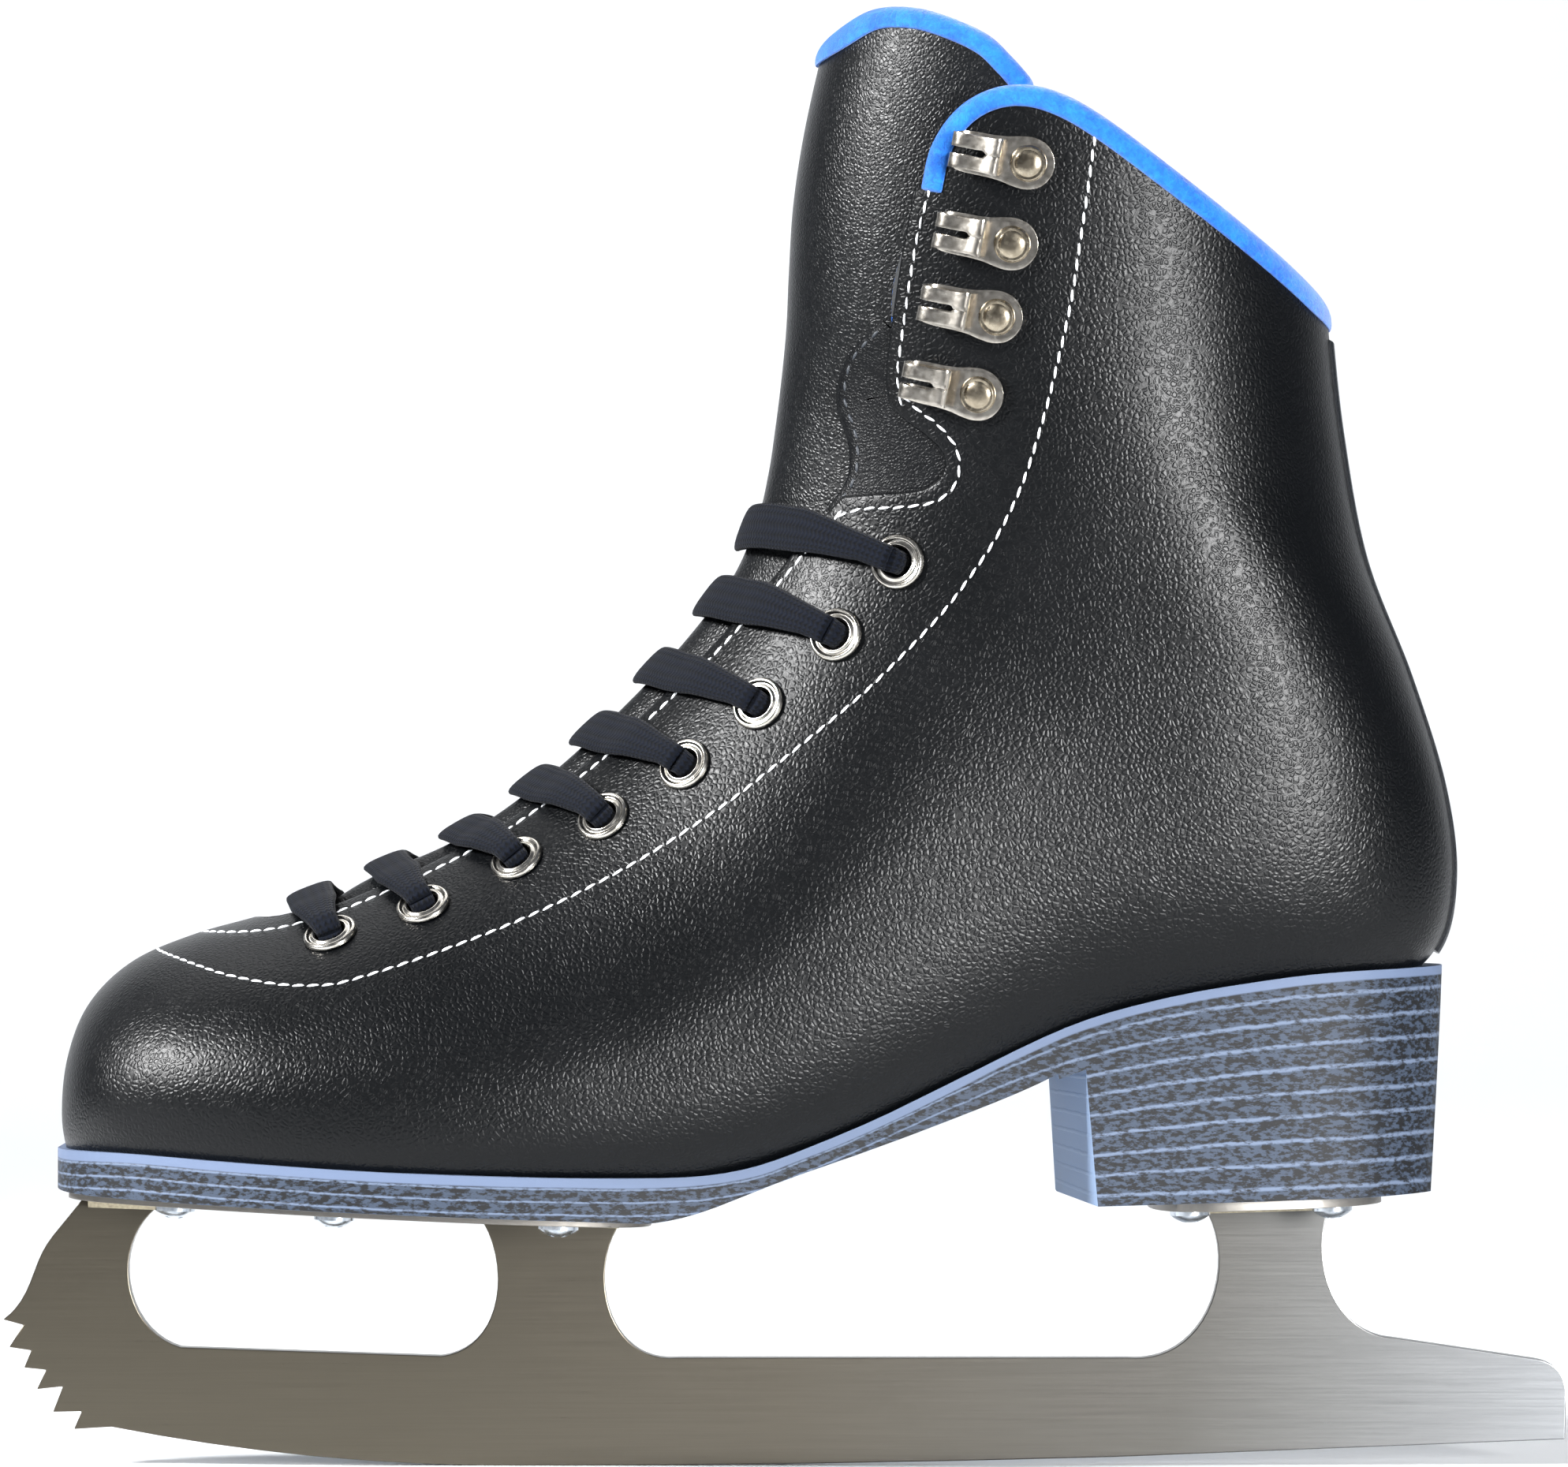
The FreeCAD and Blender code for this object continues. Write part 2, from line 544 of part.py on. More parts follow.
def shifted(line, distance):
    """A line moved sideways by distance, to the right of its direction."""
    moved = []
    for i, p in enumerate(line):
        a, b = line[max(i - 1, 0)], line[min(i + 1, len(line) - 1)]
        dx, dz = b[0] - a[0], b[1] - a[1]
        length = math.hypot(dx, dz)
        moved.append((p[0] + dz / length * distance, p[1] - dx / length * distance))
    return moved


def opening(collar_drop, with_notch):
    """The upper's opening in side view: throat, flex notch or gusset edge, flap front and collar."""
    collar = shifted(COLLAR, collar_drop)
    front = FLAP_FRONT[:-1] + [collar[0]]
    throat = [THROAT_EDGE[0], THROAT_EDGE[1]]
    if with_notch:
        middle = [[THROAT_EDGE[-1]] + NOTCH + [FLAP_FRONT[0]]]
    else:
        middle = [[THROAT_EDGE[-1]] + GUSSET_EDGE]
        front = [GUSSET_EDGE[-1]] + FLAP_FRONT[3:-1] + [collar[0]]
    start = (throat[0][0] - 1.6, throat[0][1] + 9.0)
    return [[start, throat[0]], THROAT_EDGE] + middle + [front, collar]


def throat_well():
    """The throat as a cut straight down through all layers, so that their edges lie over one another."""
    edge = [on_last(x, z) for x, z in THROAT_EDGE[2:]]
    edge = [(5.86, edge[0][1])] + edge

    def point(s, u, depth):
        i = 0
        while i < len(edge) - 2 and edge[i + 1][0] < s:
            i += 1
        share = (s - edge[i][0]) / (edge[i + 1][0] - edge[i][0])
        lip = edge[i][1] + (edge[i + 1][1] - edge[i][1]) * share
        return last_point(s, lip * abs(u), depth, -1 if u < 0 else 1)

    return slab(point, (edge[0][0], edge[-1][0]), (-1.0, 1.0), (-3.0, 9.0), 24, 12)


def layer(outer, inner, opening_line):
    """A layer of the upper between two lasts, open at the throat and collar and cut level with the sole."""
    sheet = outer.cut(inner).cut(above_edge(opening_line)).cut(THROAT_WELL)
    return sheet.cut(band(-60.0, 0.0)).cut(Part.makeBox(FAR, FAR, 56.0, Vector(-FAR / 2, -FAR / 2, -6.0)))


def drill(shape, radius, places):
    for s, a in places:
        for side in (-1, 1):
            hole = Part.makeCylinder(radius, 12, Vector(0, 0, -9))
            shape = shape.cut(placed(hole, s, a, side))
    return shape


# ---------------------------------------------------------------- tongue

# The tongue lies in the last's own sections, sunk into them: a little in the middle and more at its sides,
# where it passes under the facings and the lace. Its sides stay narrower than the opening that it tips out of.
TONGUE = [  # station, angle of the side edge, angle over which it sinks, depth in the middle and at the sides
    (TONGUE_BOTTOM, 0.60, 0.25, 4.6, 8.0), (6.9, 0.61, 0.25, 0.9, 8.0), (8.0, 0.62, 0.24, 0.8, 8.0),
    (10.0, 0.66, 0.28, 0.8, 8.0), (12.0, 0.70, 0.36, 0.7, 8.0), (14.0, 0.71, 0.46, 0.4, 8.0),
    (16.0, 0.57, 0.54, 0.1, 8.0), (18.0, 0.65, 0.66, 0.1, 8.0), (20.0, 0.98, 0.78, 0.1, 9.3),
    (22.0, 1.25, 0.88, 0.1, 12.0)]
TONGUE_LEATHER, TONGUE_FOAM, TONGUE_LINING = 1.1, 4.0, 0.9
TONGUE_THICKNESS = TONGUE_LEATHER + TONGUE_FOAM + TONGUE_LINING


def tongue_row(s):
    i = 0
    while i < len(TONGUE) - 2 and TONGUE[i + 1][0] < s:
        i += 1
    span = TONGUE[i + 1][0] - TONGUE[i][0]
    return catmull([row[1:] for row in TONGUE], i + (s - TONGUE[i][0]) / span)


def tongue_point(s, u, depth):
    edge, settle, middle, sides = tongue_row(s)
    a = edge * abs(u)
    sunk = middle + (sides - middle) * (1 - math.exp(-(a / settle) ** 2))
    return last_point(s, a, sunk + depth, -1 if u < 0 else 1)


def tongue_layer(s0, s1, depth0, depth1):
    return slab(tongue_point, (s0, s1), (-1.0, 1.0), (depth0, depth1), 24, 24)


def over_tongue(drop):
    """Everything above a line that lies drop below the tongue's top edge."""
    line = shifted(TONGUE_TOP, drop)
    return across([spline_edge(line), line_edge(line[-1], (150, 236)), line_edge((150, 236), (150, 300)),
                   line_edge((150, 300), (-60, 300)), line_edge((-60, 300), line[0])])


# ---------------------------------------------------------------- fittings

def eyelet():
    """A turned-over eyelet: domed flange outside, barrel through the facing."""
    barrel_r = EYELET_HOLE_R + 0.35
    dome = Part.Arc(Vector(EYELET_HOLE_R, 0, 0.5), Vector(3.75, 0, 1.15), Vector(EYELET_FLANGE_R, 0, 0.35))
    corners = [Vector(EYELET_FLANGE_R, 0, 0.35), Vector(EYELET_FLANGE_R, 0, 0.1), Vector(barrel_r, 0, 0.1),
               Vector(barrel_r, 0, -4.9), Vector(EYELET_HOLE_R, 0, -4.9), Vector(EYELET_HOLE_R, 0, 0.5)]
    straight = [Part.makeLine(a, b) for a, b in zip(corners, corners[1:])]
    profile = Part.Wire([dome.toShape()] + straight)
    return Part.Face(profile).revolve(Vector(0, 0, 0), Vector(0, 0, 1), 360)


def eyelet_washer():
    ring = Part.makeCylinder(4.7, 0.4, Vector(0, 0, -4.9))
    return ring.cut(Part.makeCylinder(EYELET_HOLE_R + 0.37, 3, Vector(0, 0, -6)))


def strip_along(points, thickness, half_width):
    """A bent sheet: the outline of a strip's edge in the XZ plane, thickened and pulled to its width."""
    offset = shifted(points, thickness)
    edges = [spline_edge(points) if len(points) > 2 else line_edge(*points), line_edge(points[-1], offset[-1]),
             spline_edge(offset) if len(points) > 2 else line_edge(*offset), line_edge(offset[0], points[0])]
    return across(edges, half_width)


def lace_hook():
    """A speed hook pressed from one sheet: a tab under the rivet, and a nose that curls back over the lace."""
    sheet, nose = 0.8, 11.6
    tab = Part.makeCylinder(4.6, sheet).cut(Part.makeCylinder(1.45, 3, Vector(0, 0, -1)))
    neck = Part.makeBox(nose - 1.6, 7.4, sheet, Vector(1.6, -3.7, 0))
    neck = neck.cut(Part.makeCylinder(1.45, 3, Vector(0, 0, -1)))
    curl = strip_along([(nose - 0.4, 0.0), (nose + 1.3, 0.7), (nose + 1.9, 2.2), (nose + 1.2, 3.7),
                        (nose - 0.6, 4.3)], sheet, 3.1)
    lip = Part.makeBox(6.0, 6.2, sheet, Vector(nose - 6.5, -3.1, 4.28 - sheet + 0.78))
    hook = tab.fuse([neck, curl, lip])
    slot = Part.makeBox(4.6, 1.3, 6, Vector(nose - 1.6, -0.65, 1.2))
    return hook.cut(slot)


def rivet():
    """A tubular rivet: domed head outside, shank through flap and hook."""
    cap = Part.makeSphere(5.0, Vector(0, 0, -2.9)).common(Part.makeCylinder(3.0, 3, Vector(0, 0, 0.95)))
    return cap.fuse(Part.makeCylinder(1.4, 5.9, Vector(0, 0, -4.9)))


def lace_bar(row):
    """The lace's bar across the tongue at one row, narrowing and rising over the eyelets' flanges."""
    s_eye, a_eye = ROWS[row]
    crown = LACE_CROWNS[row]

    def point(v, u, depth):
        s = crown + (s_eye - crown) * abs(u) ** 1.6
        fx, fz = catmull(SECTIONS, s)[:2]
        gx, gz = catmull(SECTIONS, s + 0.05)[:2]
        per_station = math.hypot(gx - fx, gz - fz) / 0.05
        width = LACE_WIDTH * (1 - 0.45 * ramp(abs(u), 0.70, 1.0)) * (1 - 0.12 * abs(u))
        lift = 0.3 + 1.35 * ramp(abs(u), 0.50, 0.72)
        return last_point(s + v * width / 2 / per_station, a_eye * abs(u), -lift - depth, -1 if u < 0 else 1)

    return slab(point, (-1.0, 1.0), (-1.0, 1.0), (LACE_THICKNESS, 0.0), 4, 36)


def lace_along(start, end, side, level, count=16):
    """A flat run of lace inside the upper between two places on the last, in the first or second layer."""
    (s0, a0), (s1, a1) = start, end
    top = UNDER_WASHERS + level * LACE_LAYER

    def point(u, v, depth):
        s, a = s0 + (s1 - s0) * u, a0 + (a1 - a0) * u
        half_angle = LACE_WIDTH * 0.3 / catmull(SECTIONS, s)[4]
        return last_point(s, a + v * half_angle, top + depth, side)

    return slab(point, (0.0, 1.0), (-1.0, 1.0), (0.0, LACE_FOLDED), count, 4)


def aglet(start, end, side, level):
    """The crimped metal tip at the end of a tail of lace."""
    depth = UNDER_WASHERS + level * LACE_LAYER + LACE_FOLDED / 2 + 0.15
    a, b = [last_point(s, angle, depth, side) for s, angle in (start, end)]
    return Part.makeCylinder(AGLET_R, (b - a).Length, a, b - a)


# ---------------------------------------------------------------- build

os.makedirs("parts", exist_ok=True)
ROWS = [on_last(x, z) for x, z in EYELETS]
RIVETS = [on_last(x, z) for x, z in HOOK_RIVETS]
THROAT_WELL = throat_well()

# Blade, its plates and screws.
save("blade_runner", blade_runner())
save("toe_mounting_plate", toe_plate())
save("heel_mounting_plate", heel_plate())
beads = [along_stanchion(*stanchion, 0.02 - BEVEL, BRAZE_SIZE - BEVEL, -0.02) for stanchion in STANCHIONS]
save("stanchion_brazing", Part.makeCompound(sum(beads, [])))
save("toe_plate_screws", Part.makeCompound(screws(TOE_SCREWS, TOE_SOLE_START, TOE_SOLE_SLOPE, 5.4)))
save("heel_plate_screws", Part.makeCompound(screws(HEEL_SCREWS, HEEL_SOLE_START, HEEL_SOLE_SLOPE, 18.0)))

# Sole, shank, insole board and footbed.
save("unit_sole", unit_sole())
save("waist_shank", shank_blank())
layer_0 = last_solid(0.0, 0.0)
layer_1 = last_solid(LEATHER, 0.9)
layer_2 = last_solid(LEATHER + INTERLAYER, 1.3, COLLAR_PAD)
layer_3 = last_solid(LEATHER + INTERLAYER + LINING, 1.5, COLLAR_PAD)
save("insole_board", layer_3.common(band(0.02, INSOLE_BOARD)))
save("footbed", layer_3.common(band(INSOLE_BOARD + 0.02, INSOLE_BOARD + FOOTBED)))

# Upper leather, in one piece round the heel and over the toe.
leather = drill(layer(layer_0, layer_1, opening(BINDING_HEIGHT, True)), EYELET_HOLE_R + 0.4, ROWS)
leather = drill(leather, 1.45, RIVETS)
save("upper_leather", leather)

# Between leather and lining: toe puff, facing reinforcement, flex-notch gusset, heel counter and foam.
between = drill(layer(layer_1, layer_2, opening(BINDING_HEIGHT, False)), EYELET_HOLE_R + 0.4, ROWS)
between = drill(between, 1.45, RIVETS)
toe_space = across(polygon_edges([(-150, 30), (-98, 30), (-103, 120), (-150, 120)]))
counter_space = across([line_edge((150, 60), (52, 60)), line_edge((52, 60), (52, 100)),
                        spline_edge([(52, 100), (66, 128), (92, 150), (150, 158)]),
                        line_edge((150, 158), (150, 60))])
stay_line = shifted(EYESTAY_LINE, 1.6)
stay_space = across([spline_edge(stay_line), line_edge(stay_line[-1], (55, 300)), line_edge((55, 300), (-170, 300)),
                     line_edge((-170, 300), (-170, 98)), line_edge((-170, 98), stay_line[0])])
gusset_space = across(polygon_edges([(2, 168.5), (28, 168.5), (34, 180), (27, 190.5), (21, 206), (6, 206)]))
toe_puff, rest = between.common(toe_space), between.cut(toe_space)
counter, rest = rest.common(counter_space), rest.cut(counter_space)
gussets, rest = rest.common(gusset_space), rest.cut(gusset_space)
stays, foam = rest.common(stay_space), rest.cut(stay_space)
for name, shape in (("toe_puff", toe_puff), ("heel_counter", counter), ("flex_notch_gussets", gussets),
                    ("facing_reinforcement", stays), ("ankle_foam", foam)):
    save(name, shape)

lining = drill(layer(layer_2, layer_3, opening(BINDING_HEIGHT, False)), EYELET_HOLE_R + 0.4, ROWS)
lining = drill(lining, 1.45, RIVETS)
vamp_space = across(polygon_edges([(-150, 30), (-8, 30), (-38, 150), (-150, 150)]))
save("vamp_lining", lining.common(vamp_space))
save("quarter_lining", lining.cut(vamp_space))

# Rolled felt binding that caps every layer round the collar.
proud = last_solid(-BINDING_PROUD, 12.0)
within = last_solid(LEATHER + INTERLAYER + LINING + BINDING_PROUD, 12.0, COLLAR_PAD)
rim = proud.cut(within).cut(above_edge(opening(0.0, False)))
collar_low = shifted(COLLAR, BINDING_HEIGHT)
below = across([spline_edge(collar_low), line_edge(collar_low[-1], (160, collar_low[-1][1])),
                line_edge((160, collar_low[-1][1]), (160, 0)), line_edge((160, 0), (-170, 0)),
                line_edge((-170, 0), (-170, 228.0)), line_edge((-170, 228.0), collar_low[0])])
save("collar_binding", rim.cut(below))

# Backstay: a narrow leather strip over the back seam.
strip_space = Part.makeBox(60, 15.0, 128, Vector(88, -7.5, 92.5))
backstay = last_solid(-1.0, 12.0).cut(last_solid(-0.12, 12.0)).common(strip_space)
backstay = backstay.cut(above_edge(opening(BINDING_HEIGHT + 0.6, False)))
save("backstay", backstay)

# Tongue: fixed below the hinge line, free above it.
lower_end, upper_start = HINGE_STATION - HINGE_GAP / 2, HINGE_STATION + HINGE_GAP / 2
depths = [0.0, TONGUE_LEATHER, TONGUE_LEATHER + TONGUE_FOAM, TONGUE_THICKNESS]
for name, top, base in (("leather", depths[0], depths[1]), ("foam", depths[1], depths[2]),
                        ("lining", depths[2], depths[3])):
    save("tongue_" + name + "_lower", tongue_layer(TONGUE_BOTTOM, lower_end, top, base))
    upper = tongue_layer(upper_start, LAST_STATION, top, base)
    save("tongue_" + name + "_upper", upper.cut(over_tongue(BINDING_HEIGHT)))
rim = tongue_layer(LAST_STATION - 2.6, LAST_STATION, -BINDING_PROUD, TONGUE_THICKNESS + 0.5)
save("tongue_binding", rim.common(over_tongue(BINDING_HEIGHT)).cut(over_tongue(0.0)))

# Eyelets, hooks and rivets, one group for each side of the boot.
for side_name, side in (("outer", -1), ("inner", 1)):
    save("eyelets_" + side_name, Part.makeCompound([placed(eyelet(), s, a, side, 0.1) for s, a in ROWS]))
    save("eyelet_washers_" + side_name,
         Part.makeCompound([placed(eyelet_washer(), s, a, side) for s, a in ROWS]))
    save("lace_hooks_" + side_name,
         Part.makeCompound([placed(lace_hook(), s, a, side, 0.25, HOOK_TURN) for s, a in RIVETS]))
    save("hook_rivets_" + side_name,
         Part.makeCompound([placed(rivet(), s, a, side, 0.25, HOOK_TURN) for s, a in RIVETS]))

# Lace: a bar across the tongue at each row, tucked through the eyelets. Inside, each strand climbs two rows
# between bars, so the strands alternate. Both ends are tucked up behind the outer flap.
save("lace_bars", Part.makeCompound([lace_bar(row) for row in range(len(ROWS))]))
tuck = Part.makeCylinder(2.3, TUCK_DEPTH + 1.2, Vector(0, 0, -TUCK_DEPTH))
save("lace_tucks", Part.makeCompound([placed(tuck, s, a, side) for s, a in ROWS for side in (-1, 1)]))
climbs = {-1: [(0, 1, 0), (2, 4, 0), (3, 5, 1)], 1: [(0, 2, 0), (1, 3, 1), (4, 6, 0), (5, 7, 1)]}
for side_name, side in (("outer", -1), ("inner", 1)):
    runs = [lace_along(ROWS[low], ROWS[high], side, level) for low, high, level in climbs[side]]
    save("lace_climbs_" + side_name, Part.makeCompound(runs))
tails = [(ROWS[6], (17.2, 1.06), 1), (ROWS[7], (16.2, 0.88), 0)]
tips = [((17.26, 1.06), (17.94, 1.08), 1), ((16.26, 0.88), (16.94, 0.885), 0)]
save("lace_tails", Part.makeCompound([lace_along(start, end, -1, level) for start, end, level in tails]))
save("aglets", Part.makeCompound([aglet(start, end, -1, level) for start, end, level in tips]))
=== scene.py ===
import math

import bmesh
import bpy
import numpy as np
from mathutils import Matrix, Vector


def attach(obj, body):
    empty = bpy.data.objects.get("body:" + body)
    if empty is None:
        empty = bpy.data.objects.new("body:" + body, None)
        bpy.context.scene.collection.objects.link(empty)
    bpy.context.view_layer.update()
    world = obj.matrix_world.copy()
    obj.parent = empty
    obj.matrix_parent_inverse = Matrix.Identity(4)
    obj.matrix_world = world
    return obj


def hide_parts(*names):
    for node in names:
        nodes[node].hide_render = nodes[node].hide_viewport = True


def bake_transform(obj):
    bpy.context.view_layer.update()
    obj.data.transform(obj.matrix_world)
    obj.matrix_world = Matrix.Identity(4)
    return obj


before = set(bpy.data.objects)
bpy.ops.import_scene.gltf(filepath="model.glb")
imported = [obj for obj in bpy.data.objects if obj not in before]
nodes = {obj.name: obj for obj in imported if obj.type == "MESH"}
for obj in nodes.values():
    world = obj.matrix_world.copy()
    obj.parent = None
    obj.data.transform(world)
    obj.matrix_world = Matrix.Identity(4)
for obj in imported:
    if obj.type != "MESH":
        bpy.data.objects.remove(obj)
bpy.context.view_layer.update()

MM = 0.001
bpy.ops.object.select_all(action="DESELECT")


# ---- Camera -------------------------------------------------------------------------------------------
# A long lens square to the outer side of the boot, level with the ankle, as a catalogue shot is taken.

CAMERA_DISTANCE = 1.400
CAMERA_HEIGHT = 0.1322
LENS = 177.8

bpy.ops.object.camera_add(location=(0, -CAMERA_DISTANCE, CAMERA_HEIGHT), rotation=(math.pi / 2, 0, 0))
camera = bpy.context.object
camera.data.lens = LENS
camera.data.sensor_width = 36
bpy.context.scene.camera = camera
bpy.context.scene.view_settings.view_transform = "Standard"


# ---- Studio -------------------------------------------------------------------------------------------
# A pale sweep of painted board: floor, curve and wall in one sheet. Softboxes stand to the front left and
# front right, with one overhead, and the room behind the camera is left dim so that steel reads as steel.

def add(material, kind, settings=None, links=None):
    """Adds a node to a material, sets its sockets or properties, and links other nodes' outputs to it."""
    node = material.node_tree.nodes.new(kind)
    for key, value in (settings or {}).items():
        if isinstance(key, str) and hasattr(node, key) and key not in node.inputs:
            setattr(node, key, value)
        else:
            node.inputs[key].default_value = value
    for key, output in (links or {}).items():
        material.node_tree.links.new(output, node.inputs[key])
    return node


def linear(hex_colour):
    """An sRGB hex colour as linear RGBA."""
    channels = [int(hex_colour[i:i + 2], 16) / 255 for i in (1, 3, 5)]
    return tuple(c / 12.92 if c <= 0.04045 else ((c + 0.055) / 1.055) ** 2.4 for c in channels) + (1.0,)


def new_material(name, **sockets):
    """A material with one Principled surface, whose plain sockets are set by name."""
    material = bpy.data.materials.new(name)
    material.use_nodes = True
    surface = material.node_tree.nodes["Principled BSDF"]
    for key, value in sockets.items():
        surface.inputs[key.replace("_", " ")].default_value = value
    return material, surface


def link(material, output, socket):
    material.node_tree.links.new(output, socket)


board, board_surface = new_material("painted_board", Roughness=0.9)
board_surface.inputs["Base Color"].default_value = linear("#eceef0")

SWEEP_RADIUS = 0.8
bpy.ops.mesh.primitive_plane_add(size=6.0, location=(0, -1.4, 0))
sweep = bpy.context.object
sweep.name = "studio_sweep"
bpy.ops.object.mode_set(mode="EDIT")
bm = bmesh.from_edit_mesh(sweep.data)
for edge in bm.edges:
    edge.select = all(v.co.y > 2.9 for v in edge.verts)
bmesh.update_edit_mesh(sweep.data)
bpy.ops.mesh.spin(steps=48, angle=-math.pi / 2, center=(0, 1.6, SWEEP_RADIUS), axis=(1, 0, 0))
bpy.ops.mesh.extrude_region_move(TRANSFORM_OT_translate={"value": (0, 0, 3.0)})
bpy.ops.object.mode_set(mode="OBJECT")
bpy.ops.object.transform_apply(location=True)
sweep.data.materials.append(board)


def softbox(name, place, target, width, height, watts, spread=180):
    bpy.ops.object.light_add(type="AREA", location=place)
    lamp = bpy.context.object
    lamp.name = name
    lamp.data.shape = "RECTANGLE"
    lamp.data.size, lamp.data.size_y = width, height
    lamp.data.energy = watts
    lamp.data.spread = math.radians(spread)
    lamp.rotation_euler = (Vector(target) - Vector(place)).to_track_quat("-Z", "Y").to_euler()
    return lamp


softbox("key_left", (-1.37, -0.60, 0.92), (-0.11, 0, 0.08), 0.42, 0.42, 7, 50)
softbox("key_right", (0.82, -1.46, 0.24), (0.09, 0, 0.12), 0.34, 0.42, 5, 50)
softbox("front_fill", (0.25, -2.4, 1.5), (0, 0, 0.12), 1.2, 0.8, 2)
softbox("overhead", (0, 0.9, 2.2), (0, 0.5, 0), 2.4, 1.6, 15)
softbox("wall_wash", (0, 0.9, 1.9), (0, 2.4, 0.8), 3.0, 0.6, 38)

world = bpy.data.worlds.new("dim_room")
bpy.context.scene.world = world
world.use_nodes = True
world.node_tree.nodes["Background"].inputs["Color"].default_value = linear("#a9adb5")
world.node_tree.nodes["Background"].inputs["Strength"].default_value = 0.32


# ---- Upper --------------------------------------------------------------------------------------------
# One piece of black pebbled leather, lasted over the form of a left foot, folded over at the throat and
# the flap fronts, and sewn to the facing reinforcement inside. It is open down the front and at the collar.

# The last's cross-sections in mm: front x, z, back x, z, half width, widest place, front and back roundness.
SECTIONS = np.array([
    (-129.3, 55.3, -127.4, 53.0, 10.0, 0.00, 2.2, 2.2),
    (-130.6, 63.5, -121.0, 52.0, 22.5, -0.10, 2.2, 2.4),
    (-129.6, 74.0, -112.5, 51.6, 31.0, -0.20, 2.2, 2.7),
    (-125.8, 83.5, -103.0, 51.0, 36.2, -0.28, 2.1, 3.0),
    (-118.0, 91.0, -92.0, 50.2, 40.0, -0.32, 2.0, 3.2),
    (-106.5, 96.0, -79.5, 49.4, 42.7, -0.34, 1.9, 3.3),
    (-92.0, 100.2, -65.5, 48.8, 44.4, -0.34, 1.8, 3.4),
    (-75.0, 106.8, -49.5, 48.2, 45.2, -0.34, 1.7, 3.4),
    (-58.5, 114.3, -31.5, 48.0, 44.8, -0.32, 1.65, 3.3),
    (-43.5, 124.8, -11.5, 48.8, 42.8, -0.28, 1.65, 3.2),
    (-30.5, 136.6, 10.0, 55.0, 40.2, -0.22, 1.68, 3.1),
    (-19.2, 148.5, 34.0, 66.4, 38.3, -0.15, 1.75, 3.1),
    (-10.0, 160.5, 61.0, 78.0, 37.2, -0.10, 1.85, 3.1),
    (-5.3, 171.0, 88.0, 83.4, 36.7, -0.08, 1.95, 3.1),
    (-3.2, 179.0, 107.0, 86.0, 36.6, -0.05, 2.0, 2.9),
    (-1.9, 186.5, 117.6, 93.5, 36.8, -0.02, 2.0, 2.7),
    (-0.7, 195.0, 120.6, 107.0, 37.2, 0.0, 2.0, 2.6),
    (0.3, 205.0, 118.6, 123.5, 37.9, 0.0, 2.05, 2.5),
    (0.8, 216.0, 112.6, 143.0, 38.6, 0.0, 2.1, 2.35),
    (1.6, 228.0, 104.6, 164.0, 39.4, 0.0, 2.1, 2.2),
    (3.6, 241.0, 100.4, 186.0, 40.4, 0.0, 2.1, 2.15),
    (7.0, 256.0, 98.2, 206.0, 41.8, 0.0, 2.1, 2.1),
    (11.5, 272.0, 96.8, 226.0, 43.2, 0.0, 2.1, 2.1)])
OUTER, INNER = -1, 1            # the two sides of the boot

FEATHER = [(-131.0, 57.6), (-117.0, 57.8), (-96.0, 56.6), (-68.0, 55.1), (-40.0, 54.2), (-18.5, 54.1),
           (-7.5, 55.3), (2.2, 58.4), (14.7, 63.4), (28.7, 70.0), (42.7, 76.9), (55.2, 82.0), (70.6, 85.9),
           (84.5, 88.2), (98.6, 89.8), (121.0, 90.6)]
THROAT_EDGE = [(-86.0, 99.6), (-77.5, 102.6), (-64.5, 108.3), (-50.5, 115.9), (-36.5, 126.0), (-23.2, 137.4),
               (-12.6, 148.0), (-2.2, 159.4), (4.4, 167.2), (10.4, 173.8)]
NOTCH = [(10.4, 173.8), (16.5, 174.1), (21.8, 174.3), (26.0, 175.3), (28.6, 178.0), (28.6, 181.6),
         (25.6, 185.0), (21.6, 188.0), (18.8, 190.9)]
FLAP_FRONT = [(18.8, 190.9), (18.4, 196.0), (19.4, 204.5), (21.6, 219.0), (23.6, 228.0)]
COLLAR = [(23.6, 228.0), (25.4, 235.6), (29.3, 241.6), (34.6, 245.2), (41.0, 246.4), (48.0, 244.9),
          (56.3, 240.4), (70.2, 230.4), (84.5, 219.9), (93.4, 213.2), (98.6, 209.2)]
LEATHER = 1.4
FOLD_DEPTH = 4.2                # how far the folded edge reaches in at the throat
NOTCH_FOLD_DEPTH = 1.7


def smooth_line(points, count):
    """Points evenly spaced along a smooth curve through the given ones."""
    points = np.array(points, float)
    padded = np.vstack([2 * points[0] - points[1], points, 2 * points[-1] - points[-2]])
    fine = []
    for i in range(len(points) - 1):
        a, b, c, d = padded[i:i + 4]
        t = np.linspace(0, 1, 40, endpoint=False)[:, None]
        fine.append(0.5 * (2 * b + (c - a) * t + (2 * a - 5 * b + 4 * c - d) * t ** 2
                           + (3 * b - a - 3 * c + d) * t ** 3))
    fine = np.vstack(fine + [points[-1:]])
    return spaced(fine, count)


def spaced(line, count):
    """A polyline resampled to count points at even spacing."""
    run = np.concatenate([[0], np.cumsum(np.linalg.norm(np.diff(line, axis=0), axis=1))])
    return np.column_stack([np.interp(np.linspace(0, run[-1], count), run, line[:, k])
                            for k in range(line.shape[1])])


